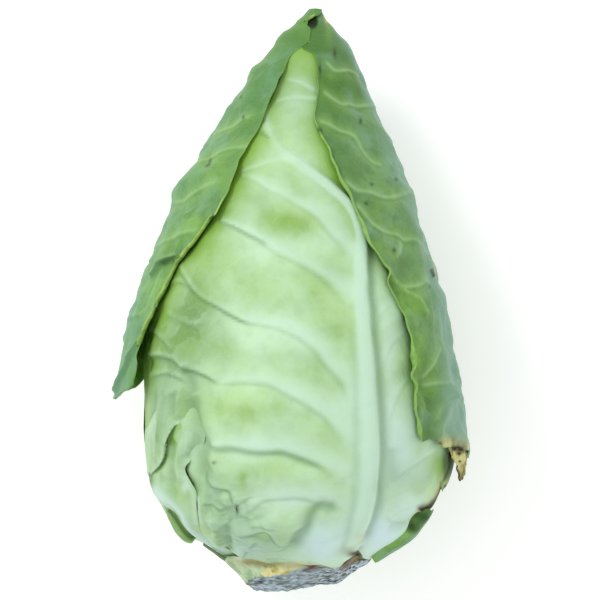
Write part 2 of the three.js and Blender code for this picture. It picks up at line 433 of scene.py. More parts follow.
    def quilt(self, rise, size):
        """Lets the blade swell between the veins: 1 - exp(-(distance / size)^2) of a rise."""
        self.relief += rise * (1 - bell(self.from_vein, size))

    def lumps(self, size, rise, seed):
        """Adds smooth noise to the relief."""
        self.relief += rise * noise(self.bare, size, seed)

    def bump(self, angle, share, half_angle, half_share, rise):
        """A soft swelling in mm about a place, given in degrees and shares."""
        round_it = (np.degrees(self.theta) - angle) / half_angle
        along = (self.share - share) / half_share
        self.relief += rise * MM * bell(np.hypot(round_it, along), 1)

    def points(self):
        """The grid's points with its relief."""
        height = self.level(self.theta, self.share) + self.relief
        return over_skin(self.theta, self.share, height)

    def roll(self, side, steps):
        """Lets a margin (+1 right, -1 left) roll up and outwards, for closed() to build. steps are
        (share along the margin, radius in mm, turn in degrees, flat run in mm, brightness)."""
        share, *values = np.transpose(steps)
        column = self.share[:, -1 if side > 0 else 0]
        self.rolls[side] = [np.interp(column, share, v)[:, None] for v in values]

    def rolled(self, points, side, count=14):
        """The strip past a margin: an arc of the radius turns up by the angle, then the strip runs
        on flat, both square to the margin."""
        radius, turn, flat, bright = self.rolls[side]
        radius, turn, flat = radius * MM, np.radians(turn), flat * MM
        column = -1 if side > 0 else 0
        edge = points[:, column][:, None]
        along = unit(ease(ease(np.gradient(points[:, column], axis=0))))[:, None]
        up = unit(ease(ease(grid_normals(points)[:, column])))[:, None]
        out = unit(side * np.cross(along, up))
        path = (radius * turn + flat) * np.linspace(0, 1, count + 1)[1:]
        phi = np.minimum(path / radius, turn)
        over = np.maximum(path - radius * turn, 0)
        sideways = radius * np.sin(phi) + over * np.cos(turn)
        upwards = radius * (1 - np.cos(phi)) + over * np.sin(turn)
        strip = edge + out * sideways[..., None] + up * upwards[..., None]
        # brightness of the painted highlight, growing across the strip
        return strip, bright * np.linspace(0, 1, count + 1)[1:] ** 3

    def closed(self):
        """The whole outer face, its rolled margins included, and its marks."""
        points = self.points()
        grid, marks = points, dict(self.marks)
        marks["rim"] = marks.get("rim", 0) + 0 * self.theta
        for side in self.rolls:
            strip, rim = self.rolled(points, side)
            for name, values in marks.items():
                column = values[:, -1 if side > 0 else 0][:, None]
                extra = np.maximum(column, rim) if name == "rim" else column + 0 * rim
                parts = [values, extra] if side > 0 else [extra[:, ::-1], values]
                marks[name] = np.concatenate(parts, 1)
            grid = np.concatenate([grid, strip] if side > 0 else [strip[:, ::-1], grid], 1)
        return grid, marks


# ------------------------------------------------------------------ meshes
def mesh_object(name, points, loops, sizes, marks, finish):
    """A smooth-shaded mesh object of points and per-point marks. loops are the points of one face
    after the other, and sizes how many each face has."""
    mesh = bpy.data.meshes.new(name)
    mesh.vertices.add(len(points))
    mesh.vertices.foreach_set("co", np.asarray(points, np.float32).ravel())
    mesh.loops.add(len(loops))
    mesh.loops.foreach_set("vertex_index", loops.astype(np.int32))
    mesh.polygons.add(len(sizes))
    mesh.polygons.foreach_set("loop_start", (np.cumsum(sizes) - sizes).astype(np.int32))
    mesh.polygons.foreach_set("use_smooth", np.ones(len(sizes), bool))
    mesh.update(calc_edges=True)
    for mark, values in marks.items():
        layer = mesh.attributes.new(mark, "FLOAT", "POINT")
        layer.data.foreach_set("value", np.asarray(values, np.float32).ravel())
    mesh.validate()
    piece = bpy.data.objects.new(name, mesh)
    bpy.context.collection.objects.link(piece)
    mesh.materials.append(finish)
    return piece


def grid_quads(rows, columns):
    """The quads of a grid of points numbered row by row, facing outwards."""
    a = (np.arange(rows - 1)[:, None] * columns + np.arange(columns - 1)).ravel()
    return np.stack([a, a + 1, a + columns + 1, a + columns], 1)


def coarse_blocks(keep, columns, k=2):
    """The kept quads of a grid in blocks of k by k, each one face: its four corners, and on every
    side that has no such block beyond it the points between them too. Returns the blocks' loops,
    their sizes, and the kept quads that are in no block."""
    rows, across = keep.shape[0] // k, keep.shape[1] // k
    whole = keep[: rows * k, : across * k].reshape(rows, k, across, k).all((1, 3))
    single = keep.copy()
    single[: rows * k, : across * k] &= ~whole.repeat(k, 0).repeat(k, 1)
    up, down, level, edge = np.arange(k), np.arange(k, 0, -1), np.zeros(k, int), np.full(k, k)
    block = np.argwhere(whole)
    row = block[:, :1] * k + np.concatenate([level, up, edge, down])
    column = block[:, 1:] * k + np.concatenate([up, edge, down, level])
    beyond = np.pad(whole, 1)
    i, j = block.T + 1
    sides = np.stack([beyond[i - 1, j], beyond[i, j + 1], beyond[i + 1, j], beyond[i, j - 1]], 1)
    used = ~sides.repeat(k, 1)
    used[:, ::k] = True
    loops = (row * columns + column)[:, ::-1][used[:, ::-1]]
    return loops, used.sum(1), single.ravel()


def two_faced(name, outer, marks, finish, keep=None):
    """A leaf with two faces: the inner face lies under the outer one by the leaf's thickness along
    its normal, in faces twice as large, and quads round every open edge join the two."""
    rows, columns = outer.shape[:2]
    across = np.linalg.norm(np.diff(outer, axis=1), axis=2)
    reach = np.concatenate([0 * across[:, :1], np.cumsum(across, axis=1)], 1)
    margin = np.minimum(reach, reach[:, -1:] - reach)
    thickness = LEAF_EDGE + (LEAF - LEAF_EDGE) * smooth(0, 6 * MM, margin)
    inner = outer - grid_normals(outer) * thickness[..., None]
    if keep is None:
        keep = np.ones((rows - 1, columns - 1), bool)
    blocks, block_sizes, single = coarse_blocks(keep, columns)
    all_quads = grid_quads(rows, columns)
    quads, count = all_quads[keep.ravel()], rows * columns
    edges = np.concatenate([quads[:, [i, (i + 1) % 4]] for i in range(4)])
    a, b = edges[~np.isin(edges @ (count, 1), edges @ (1, count))].T
    fours = [quads, all_quads[single][:, ::-1] + count, np.stack([b, a, a + count, b + count], 1)]
    fours = np.concatenate(fours).ravel()
    points = np.concatenate([outer.reshape(-1, 3), inner.reshape(-1, 3)])
    used, loops = np.unique(np.concatenate([fours, blocks + count]), return_inverse=True)
    sizes = np.concatenate([np.full(len(fours) // 4, 4), block_sizes])
    both = {m: np.concatenate([v.ravel(), v.ravel()])[used] for m, v in marks.items()}
    both["inside"] = (np.arange(2 * count) >= count)[used]
    return mesh_object(name, points[used], loops.ravel(), sizes, both, finish)


def capped_tube(name, rings, marks, finish):
    """A closed body of rings of points, each run round towards +X from the top: triangles join
    the rings, and fans close the two ends at their middles."""
    rows, columns = rings.shape[:2]
    ring = np.arange(columns)
    after = (ring + 1) % columns
    a = (np.arange(rows - 1)[:, None] * columns + ring).ravel()
    b = (np.arange(rows - 1)[:, None] * columns + after).ravel()
    first, last = rows * columns, rows * columns + 1
    top = (rows - 1) * columns
    faces = np.concatenate(
        [
            np.stack([a, b, b + columns], 1),
            np.stack([a, b + columns, a + columns], 1),
            np.stack([after, ring, 0 * ring + first], 1),
            np.stack([top + ring, top + after, 0 * ring + last], 1),
        ]
    )
    points = np.concatenate([rings.reshape(-1, 3), rings[0].mean(0)[None], rings[-1].mean(0)[None]])
    ends = {m: [v[0].mean(), v[-1].mean()] for m, v in marks.items()}
    marks = {m: np.concatenate([v.ravel(), ends[m]]) for m, v in marks.items()}
    return mesh_object(name, points, faces.ravel(), np.full(len(faces), 3), marks, finish)


# ------------------------------------------------------------------ finishes
def colour(code):
    """A linear colour from its 0xRRGGBB code."""
    parts = np.array([code >> 16 & 255, code >> 8 & 255, code & 255]) / 255
    linear = np.where(parts < 0.04045, parts / 12.92, ((parts + 0.055) / 1.055) ** 2.4)
    return (*linear, 1.0)


BASE_WHITE = colour(0xC4DEE0)
# painted shade for creases, grooves and valleys
CREASE_SHADE_GREEN = colour(0x55804A)
# painted shade on inner faces in hollows
HOLLOW_SHADE_GREEN = colour(0x3C6416)
SHADE_GREEN = colour(0x24450A)
CURL_GREENS = colour(0x7BA454), colour(0x9AC068), colour(0x6E9A4C)
# painted highlight at the curled strips' edges
CURL_HIGHLIGHT = colour(0xB6D486)
STRAW, DRY_BROWN = colour(0xC9C684), colour(0x857A46)
# blackened tissue, and painted shade in holes
BLACKENED_AND_HOLE_SHADE = colour(0x14180A)


class Wire:
    """A socket of a finish's nodes; arithmetic on it adds Math nodes."""

    def __init__(self, finish, socket):
        self.finish, self.socket = finish, socket

    def __add__(self, other):
        return self.finish.math("ADD", self, other)

    def __sub__(self, other):
        return self.finish.math("SUBTRACT", self, other)

    def __rsub__(self, other):
        return self.finish.math("SUBTRACT", other, self)

    def __mul__(self, other):
        return self.finish.math("MULTIPLY", self, other)

    __radd__, __rmul__ = __add__, __mul__


class Finish:
    """A material, whose nodes end in its Principled shader."""

    def __init__(self, name, **constants):
        self.material = bpy.data.materials.new(name)
        self.material.use_nodes = True
        self.tree = self.material.node_tree
        self.shader = self.tree.nodes["Principled BSDF"]
        for socket, value in constants.items():
            self.feed(self.shader.inputs[socket.replace("_", " ")], value)

    def feed(self, socket, value):
        """Links a wire to a socket, or sets its value."""
        if isinstance(value, Wire):
            self.tree.links.new(value.socket, socket)
        else:
            socket.default_value = value

    def node(self, kind, settings, inputs, output=0):
        """Adds a node with its settings, then the values or wires of its sockets."""
        node = self.tree.nodes.new(kind)
        for setting, value in settings.items():
            setattr(node, setting, value)
        for socket, value in inputs.items():
            self.feed(node.inputs[socket], value)
        return Wire(self, node.outputs[output])

    def math(self, operation, a, b):
        """A Math node's result for two values or wires."""
        return self.node("ShaderNodeMath", {"operation": operation}, {0: a, 1: b})

    def mark(self, name):
        """A mark of the piece's points."""
        return self.node("ShaderNodeAttribute", {"attribute_name": name}, {}, "Fac")

    def mix(self, share, a, b):
        """Colour a with a share of colour b."""
        return self.node("ShaderNodeMix", {"data_type": "RGBA"}, {0: share, 6: a, 7: b}, 2)

    def step(self, low, high, x):
        """0 below low, 1 above high and smooth between."""
        limits = {"Value": x, "From Min": low, "From Max": high}
        return self.node("ShaderNodeMapRange", {"interpolation_type": "SMOOTHSTEP"}, limits)

    def here(self, stretch=(1, 1, 1)):
        """The place on the piece, with its axes stretched."""
        place = self.node("ShaderNodeTexCoord", {}, {}, "Object")
        return self.node("ShaderNodeMapping", {}, {"Vector": place, "Scale": stretch})

    def cloud(self, place, size, detail=3, output=0):
        """Noise with bumps of a size, about 0.5."""
        inputs = {"Vector": place, "Scale": 1 / size, "Detail": detail}
        return self.node("ShaderNodeTexNoise", {}, inputs, output)

    def shifted(self, place, size, by):
        """The place moved by noise of a size."""
        push = self.node(
            "ShaderNodeVectorMath", {"operation": "SCALE"},
            {0: self.cloud(place, size, 1, 1), "Scale": by},
        )
        return self.node("ShaderNodeVectorMath", {"operation": "ADD"}, {0: place, 1: push})

    def net(self, place, size, width):
        """The thin lines between cells of a size: 1 on them, 0 off them."""
        inputs = {"Vector": place, "Scale": 1 / size}
        edge = self.node("ShaderNodeTexVoronoi", {"feature": "DISTANCE_TO_EDGE"}, inputs)
        return 1 - self.step(0.0, width, edge)

    def end(self, base_colour, roughness, relief, depth):
        """Feeds the shader: relief is a height from 0 to 1 that is depth metres deep."""
        self.feed(self.shader.inputs["Base Color"], base_colour)
        self.feed(self.shader.inputs["Roughness"], roughness)
        inputs = {"Height": relief, "Distance": depth, "Strength": 1.0}
        self.feed(self.shader.inputs["Normal"], self.node("ShaderNodeBump", {}, inputs))
        return self.material


def leaf_finish(name, blade, cloudy, green, yellow_green, vein_and_highlight, deep, inner, bloom_and_sheen, net_share, lively):
    """A waxy cabbage leaf: a blade in drifting greens with a net of fine veins, pale ribs, and the
    marks that its sheet carries, among them painted shade in creases, gaps and holes, painted
    highlights on lit edges and curls, and painted sheen at the sides. lively scales how much the
    greens vary."""
    f = Finish(
        name,
        Subsurface_Weight=0.2,
        Subsurface_Scale=2.0 * MM,
        Subsurface_Radius=(0.7, 1.0, 0.35),
        Specular_IOR_Level=0.22,
    )
    here = f.here()
    drift = f.cloud(here, 26 * MM, 2)
    mottle = f.cloud(here, 7 * MM, 4)
    crinkle = f.cloud(here, 3.2 * MM, 3)
    grain = f.cloud(here, 1.1 * MM, 3)
    fibres = f.cloud(f.here((1, 0.05, 1)), 1.0 * MM, 2)
    bent = f.shifted(here, 9 * MM, 5 * MM)
    net = f.net(bent, 8 * MM, 0.05)
    fine_net = f.net(bent, 2.8 * MM, 0.09)
    is_vein, crease_shade, dry = f.mark("vein_and_highlight"), f.mark("crease_shade"), f.mark("dry")
    on_blade = 1 - is_vein

    tone = f.mix(f.step(0.38, 0.62, drift), blade, cloudy)
    patch = f.step(0.5, 0.55, f.cloud(bent, 12 * MM, 2))
    tone = f.mix(patch * 0.3, tone, cloudy)
    tone = f.mix(f.mark("green") * (0.55 + 0.6 * mottle + 0.25 * patch), tone, green)
    # yellow-green patches, and painted shade beside the wrappers' edges and in hollows
    tone = f.mix(f.mark("blotch_and_shade") * (0.3 + 1.2 * mottle), tone, yellow_green)
    tone = f.mix(f.step(0.5, 0.74, f.cloud(here, 15 * MM, 3)) * (1.3 * lively), tone, bloom_and_sheen)
    tone = f.mix(f.step(0.46, 0.66, mottle) * lively, tone, green)
    tone = f.mix(f.step(0.5, 0.7, crinkle) * (0.6 * lively), tone, deep)
    tone = f.mix((net * 0.6 + fine_net * 0.4) * on_blade * net_share, tone, vein_and_highlight)
    # deep green: painted shade beside the wrappers' edges and in gaps, and a darker tone at the point
    tone = f.mix(f.mark("deep"), tone, deep)
    tone = f.mix(f.mark("base"), tone, BASE_WHITE)
    # pale veins, and painted highlights on lit lips, crests and edges
    tone = f.mix(is_vein * (0.8 + 0.2 * fibres), tone, vein_and_highlight)
    # painted shade in creases, grooves and valleys
    tone = f.mix(crease_shade * 0.85, tone, CREASE_SHADE_GREEN)
    # wax bloom, and painted sheen towards the sides
    tone = f.mix(f.mark("bloom_and_sheen") * (0.4 + 0.8 * mottle), tone, bloom_and_sheen)
    tone = f.mix(f.mark("inside"), tone, f.mix(f.step(0.44, 0.62, crinkle) * 0.4, inner, green))
    # painted shade on the inner face in hollows
    tone = f.mix(f.mark("inside") * f.mark("hollow"), tone, HOLLOW_SHADE_GREEN)
    curled = f.mix(f.step(0.42, 0.6, crinkle), CURL_GREENS[0], CURL_GREENS[1])
    curled = f.mix(f.step(0.5, 0.62, fibres) * 0.5, curled, CURL_GREENS[2])
    # curled strips: their inner-face greens with painted highlight, whitest at the edge
    tone = f.mix(f.mark("rim") * (0.4 + 0.5 * mottle), tone, curled)
    tone = f.mix(f.step(0.85, 1.0, f.mark("rim")) * 0.7, tone, CURL_HIGHLIGHT)
    tone = f.mix(f.mark("shade"), tone, SHADE_GREEN)
    tan = f.mix(f.step(0.4, 0.62, mottle), STRAW, DRY_BROWN)
    tone = f.mix(dry, tone, tan)
    # blackened tissue, and painted shade in holes and the hood's hollow
    tone = f.mix(f.mark("dark"), tone, BLACKENED_AND_HOLE_SHADE)
    rough = 0.42 + 0.14 * mottle - 0.06 * is_vein + 0.35 * dry
    folds = 0.3 * crinkle + 0.12 * grain + (0.1 * net + 0.05 * fine_net) * on_blade
    return f.end(tone, rough, folds + 0.1 * fibres * is_vein, 0.5 * MM * (0.6 + 2 * lively))


def stump_finish():
    """Cut cabbage stump: grey-blue wood with dark fibres slanting across the cut, browned rims and
    scars."""
    f = Finish("stump_wood", Subsurface_Weight=0.08, Subsurface_Scale=2 * MM, Specular_IOR_Level=0.25)
    here = f.here()
    bent = f.shifted(here, 6 * MM, 4 * MM)
    along_fibre = {"Vector": bent, "Rotation": (0, 0.6, 0.35), "Scale": (0.2, 1.0, 1.3)}
    fibre = f.cloud(f.node("ShaderNodeMapping", {}, along_fibre), 1.2 * MM, 4)
    mottle = f.cloud(here, 4 * MM, 4)
    grain = f.cloud(here, 0.7 * MM, 3)
    fine_streaks = f.step(0.49, 0.58, fibre)
    tone = f.mix(f.step(0.4, 0.62, mottle), colour(0xA3B8C3), colour(0x74837F))
    tone = f.mix(f.step(0.46, 0.38, fibre) * 0.7, tone, colour(0xC9D5D6))
    tone = f.mix(fine_streaks * (0.4 + 0.55 * f.mark("streaks")), tone, colour(0x333C36))
    tone = f.mix(f.mark("brown") * (0.4 + 0.9 * mottle), tone, colour(0x7A6450))
    flank = f.mix(f.step(0.4, 0.6, mottle), colour(0xBED5A8), colour(0x98B78C))
    tone = f.mix(f.mark("flank"), tone, flank)
    beige = f.mix(mottle, colour(0xCFCCA2), colour(0xAFA478))
    tone = f.mix(f.mark("beige") * (0.5 + mottle), tone, beige)
    yellow = f.mix(f.step(0.42, 0.6, mottle), colour(0xDCD79E), colour(0xA9A443))
    tone = f.mix(f.mark("scar"), tone, yellow)
    tone = f.mix(f.mark("olive") * (0.5 + 0.8 * mottle), tone, colour(0x7F7A3C))
    tone = f.mix(f.mark("rust"), tone, colour(0x57302A))
    tone = f.mix(f.mark("dark"), tone, colour(0x17130E))
    relief = 0.5 * fibre + 0.3 * grain + 0.2 * mottle
    return f.end(tone, 0.62 + 0.2 * mottle, relief, 0.6 * MM)


def table_finish():
    """A white table with the faintest grain."""
    f = Finish("table_white", Specular_IOR_Level=0.2, Emission_Strength=0.22)
    grain = f.cloud(f.here(), 2 * MM, 2)
    tone = f.mix(grain, (0.93, 0.93, 0.93, 1), (0.9, 0.9, 0.9, 1))
    f.feed(f.shader.inputs["Emission Color"], (1, 1, 1, 1))
    return f.end(tone, 0.6 + 0.1 * grain, grain, 0.02 * MM)


PALE_LEAF = leaf_finish(
    "pale_leaf", blade=colour(0xB4D6A2), cloudy=colour(0xC0E0BE), green=colour(0x678C56),
    yellow_green=colour(0x88AE50), vein_and_highlight=colour(0xBDDCC4), deep=colour(0x7AA636),
    inner=colour(0x9DC070), bloom_and_sheen=colour(0x8FB09C), net_share=0.1, lively=0.09,
)
OUTER_LEAF = leaf_finish(
    "outer_leaf", blade=colour(0x729F57), cloudy=colour(0x6A9862), green=colour(0x4A7A35),
    yellow_green=colour(0x80AE4C), vein_and_highlight=colour(0x9DC188), deep=colour(0x4C7A26),
    inner=colour(0x8FB356), bloom_and_sheen=colour(0x6F9A84), net_share=0.09, lively=0.42,
)
RIGHT_LEAF = leaf_finish(
    "right_leaf", blade=colour(0x6A9251), cloudy=colour(0x648D5C), green=colour(0x467231),
    yellow_green=colour(0x7DAA44), vein_and_highlight=colour(0x9BBE86), deep=colour(0x48742A),
    inner=colour(0x88AF5A), bloom_and_sheen=colour(0x7CA292), net_share=0.09, lively=0.42,
)
STUMP_WOOD = stump_finish()


# ------------------------------------------------------------------ margins of the wrappers
LEFT_EDGE = places(
    [(-65.6, 92.4), (-64.8, 101.6), (-64.1, 105.7), (-62.3, 108.2), (-58.7, 115.9), (-58, 120),
     (-53.6, 127.6), (-49.4, 135.8), (-46.8, 137.6), (-42.4, 142), (-38.5, 148), (-34.1, 153.8),
     (-31.5, 159.3), (-29.2, 164), (-26.3, 171), (-23.6, 178.8), (-19.7, 185.4), (-17.1, 190.4),
     (-13.2, 199.1), (-8.6, 208.3), (-6, 214.8), (-3.6, 219.6), (0.6, 223.4)],
    left_level,
)
LEFT_MARGIN = np.concatenate(
    [
        LEFT_EDGE,
        places([(3.8, 225.9), (4.6, 229.9), (3.2, 231.8), (3.8, 233.8), (7.6, 236)], left_level),
        degrees((45, 0.984)),
    ]
)
LEFT_BOTTOM = np.concatenate(
    [
        degrees((-150, 0.46), (-143, 0.43), (-138, 0.44), (-131, 0.4), (-125, 0.405), (-119, 0.365),
                (-113, 0.375), (-106, 0.34), (-99, 0.33)),
        places([(-75.6, 79), (-73, 80.3), (-71, 81.7), (-68.6, 82.2), (-66.8, 85)], left_level),
        LEFT_EDGE[:1],
    ]
)
LEFT_HIDDEN = degrees(
    (-150, 0.46), (-160, 0.5), (-168, 0.55), (-174, 0.62), (-174, 0.75), (-174, 0.985)
)
RIGHT_EDGE = places(
    [(51, 61.2), (49, 65.6), (48.4, 75.9), (47.5, 84.8), (46.5, 88), (46.2, 93.7), (45.7, 100.3),
     (44.9, 106.4), (43.7, 111.2), (42, 117.9), (39.9, 122.1), (37.4, 127), (36.6, 130),
     (34.2, 134), (32, 138), (29.5, 142), (27, 148), (22.6, 160.3), (19.7, 164.8), (16, 173),
     (13.1, 181.2), (9.4, 189), (7.8, 194.8), (8.4, 199.7), (8.6, 210), (8.4, 216.5),
     (6.6, 220.6)],
    right_level,
)
RIGHT_MARGIN = np.concatenate(
    [
        RIGHT_EDGE,
        places([(2, 222.8)], right_level),
        degrees((-30, 0.945), (-40, 0.96), (-40, 0.986)),
    ]
)
RIGHT_BOTTOM = np.concatenate(
    [
        RIGHT_EDGE[:1],
        places([(53, 62.3), (55.5, 62), (57.3, 60.6), (60, 58.8), (63.5, 58.9), (66, 58.4),
                (71, 57.2)], right_level),
        degrees((95, 0.222), (101, 0.236), (106, 0.23), (113, 0.25), (120, 0.243), (127, 0.262),
                (134, 0.25), (141, 0.262), (150, 0.252)),
    ]
)
RIGHT_HIDDEN = degrees((150, 0.252), (162, 0.31), (172, 0.38), (176, 0.6), (176, 0.8), (176, 0.986))


# ------------------------------------------------------------------ the pale front leaf
FRONT_LEFT = degrees(
    (-42, 0.036), (-58, 0.08), (-74, 0.13), (-90, 0.18), (-97, 0.215), (-102, 0.24),
    (-99, 0.27), (-104, 0.31), (-101, 0.34), (-102, 0.37), (-94, 0.42), (-88, 0.46),
    (-70, 0.6), (-52, 0.78), (-36, 0.9), (-20, 0.945),
)
FRONT_RIGHT = np.concatenate(
    [
        degrees((44, 0.036)),
        places([(31, 13.4), (35, 16.9), (39.2, 20.4), (42.8, 24.4), (45.9, 29), (49.6, 32.4),
                (53.6, 34), (56.4, 37.2), (57.9, 41.2), (59.4, 46), (61.2, 53)]),
        degrees((78, 0.24), (68, 0.4), (58, 0.55), (46, 0.7), (36, 0.85), (20, 0.945)),
    ]
)
MIDRIB = [(21, 17), (23.6, 22.5), (26, 29), (27.8, 38), (29, 51.7), (29, 70.9), (27.7, 95.1),
          (25.8, 119.3), (25.2, 133.3), (25.6, 147.2), (21.6, 157.4), (13.8, 165), (7.9, 169.6),
          (1.2, 174.7), (-5.3, 179.5), (-10.4, 186.4), (-13.6, 191)]
# the midrib's width in mm and its height in mm, at shares of its length
MIDRIB_SIZE = [(0, 7.4, 1.6), (0.08, 8.2, 2.6), (0.2, 8.8, 2.9), (0.3, 8.6, 2.6),
               (0.62, 6.8, 1.8), (0.75, 5.6, 1.3), (1, 2.6, 0.4)]

VEIN_LIFT = 0.62  # the share of their listed heights that side veins rise by
FOLD_LIFT = 0.5  # the same for folds
# side veins, from the midrib outwards: (points, half width, height, darkness of the painted shade in the
# groove)
SIDE_VEINS = [
    ([(25, 133.3), (21.3, 140.3), (15.6, 146.2), (10.4, 152.1), (5.8, 156.4), (0.6, 158.9),
      (-6, 162.5), (-12.5, 166.2), (-18.4, 169.4), (-24, 170.6)], 4.6, 0.9, 0.35),
    ([(25, 115.2), (23, 118.9), (18, 123.8), (11.1, 129.6), (1.6, 135.3), (-7.4, 139.8),
      (-15.8, 144.6), (-24.9, 149.2), (-33, 151.6)], 5.4, 1.2, 0.4),
    ([(25.8, 74.6), (22.6, 82.4), (17.6, 89), (11, 95.5), (9.4, 98.8), (2.9, 103.7),
      (-4.5, 107.8), (-15.6, 110.3), (-26, 112)], 5.8, 1.6, 0.5),
    ([(23.8, 59.5), (20, 65.2), (15.2, 69.7), (10.7, 73.4), (4.9, 77), (-0.8, 80.4),
      (-7.8, 84), (-12.7, 86.1), (-22, 87), (-33.2, 85.6)], 5.6, 1.7, 0.5),
    ([(20.5, 45.9), (16.4, 49.6), (10.7, 53.3), (5.8, 55), (-2, 57.4), (-8.3, 58.6), (-17.7, 58.6),
      (-25, 59.4), (-33.4, 60.4), (-38, 60.4)], 5.2, 1.5, 0.5),
    ([(14.4, 36), (8.4, 38.6), (0.6, 39.6), (-7.3, 39.1), (-15.1, 37.5), (-20.3, 33.6),
      (-24, 32.3)], 4.6, 1.3, 0.5),
    ([(34.4, 65.2), (36.9, 71.8), (39.4, 77.9), (43, 84), (46, 88)], 3.4, 0.8, 0.15),
    ([(35.7, 44), (39.4, 47), (44.3, 50.8), (49.6, 54.1), (56, 58)], 3.6, 0.9, 0.3),
    ([(35, 30), (39, 32.5), (44, 34.5), (50, 36.5)], 3.0, 0.5, 0.2),
    ([(33.5, 92), (36.5, 98), (40, 103), (45, 108)], 2.8, 0.5, 0.15),
    ([(31, 108), (33, 113), (37.7, 118.5)], 2.4, 0.4, 0.15),
    ([(6, 205.2), (0.6, 208.3), (-4.5, 209.8)], 1.6, 0.3, 0.2),
    ([(-12.4, 189), (-13.6, 195), (-12.5, 200)], 2.4, 0.3, 0.1),
    ([(0, 175.6), (-7.3, 176.3), (-18.4, 173.6), (-24, 171.7)], 3.0, 0.4, 0.1),
    ([(8, 201.6), (-2.7, 201.8), (-9.3, 200.5)], 2.0, 0.25, 0.1),
]
# folds and creases: (points, step, reach, darkness of the painted shade along the fold)
FRONT_FOLDS = [
    ([(-60.5, 96.1), (-55.1, 96.4), (-52.9, 96.1), (-49.8, 94.9), (-47, 92.4), (-46, 91.4),
      (-42, 90.2), (-37.3, 88.3), (-34.1, 86.4), (-31, 84.6)], 2.6, 9, 0.8),
    ([(-60.5, 87), (-56.7, 88.9), (-53.6, 89.7), (-50.8, 88.9), (-47.3, 87.3), (-45.5, 85)],
     1.6, 6, 0.6),
    ([(-60.5, 108), (-56.1, 105.9), (-52.9, 103), (-51.4, 100.8), (-49.4, 97)], 1.4, 6, 0.5),
    ([(-52, 126), (-47.4, 126.4), (-44.2, 124.6), (-41, 121)], 0.9, 5, 0.5),
    ([(-48, 135.6), (-46.3, 130), (-42.9, 124.6), (-39.8, 120.5), (-32, 116.4), (-26.2, 112.8),
      (-18, 109.3)], 1.1, 7, 0.8),
    ([(-53, 114), (-48.3, 111.2), (-44.2, 109.4), (-37.3, 109.8)], 0.8, 5, 0.35),
    ([(-33, 151.8), (-28.9, 151), (-24.9, 149.2), (-20.4, 146.6), (-15.8, 144.5), (-11.9, 142)],
     0.6, 5, 0.5),
    ([(-33.6, 188.2), (-15.5, 187.4), (-13.6, 189.8)], 0.3, 3, 0.5),
    ([(-17, 190), (-14.6, 188), (-11, 185.6)], 0.4, 3, 0.5),
    ([(-37.5, 50), (-36.6, 46.6), (-34.8, 44), (-32.8, 42.8), (-28.8, 42.2), (-26.4, 40.5),
      (-25.4, 37.7), (-25, 34.7)], 1.8, 5, 0.7),
    ([(-37.8, 37.8), (-34.6, 36), (-31.8, 34), (-29.8, 34.7), (-27.6, 33.8)], 1.3, 4, 0.6),
    ([(-34, 26.6), (-30.5, 27.5), (-28.8, 29.2), (-27.5, 30.6)], 1.2, 4, 0.5),
    ([(-25, 31.5), (-22.4, 31.3), (-20, 31.5)], 0.8, 3, 0.5),
    ([(-26, 25), (-20.2, 25.1), (-16, 25.5), (-13.1, 25.3), (-10.6, 24.1), (-8.9, 21.6),
      (-6.8, 20.1), (-2.6, 19)], 2.2, 4, 0.9),
    ([(-25.5, 19.6), (-21.5, 20.1), (-19.4, 20.3), (-16.9, 21.8), (-14.4, 20.3), (-12.3, 18.7),
      (-8.9, 18), (-5, 18.6)], 1.9, 3.5, 0.8),
    ([(-22.4, 14.6), (-21.1, 17), (-18.5, 17.2), (-15.5, 16.4)], 1.3, 3, 0.7),
    ([(-14, 14.5), (-9, 15.2), (-4, 14.6)], 0.9, 3, 0.4),
    ([(36, 31), (40, 28.5), (45, 28.8)], 0.7, 5, 0.2),
    ([(-20, 28.2), (-16, 28), (-12.4, 27), (-9, 27.4)], 0.8, 3, 0.4),
]
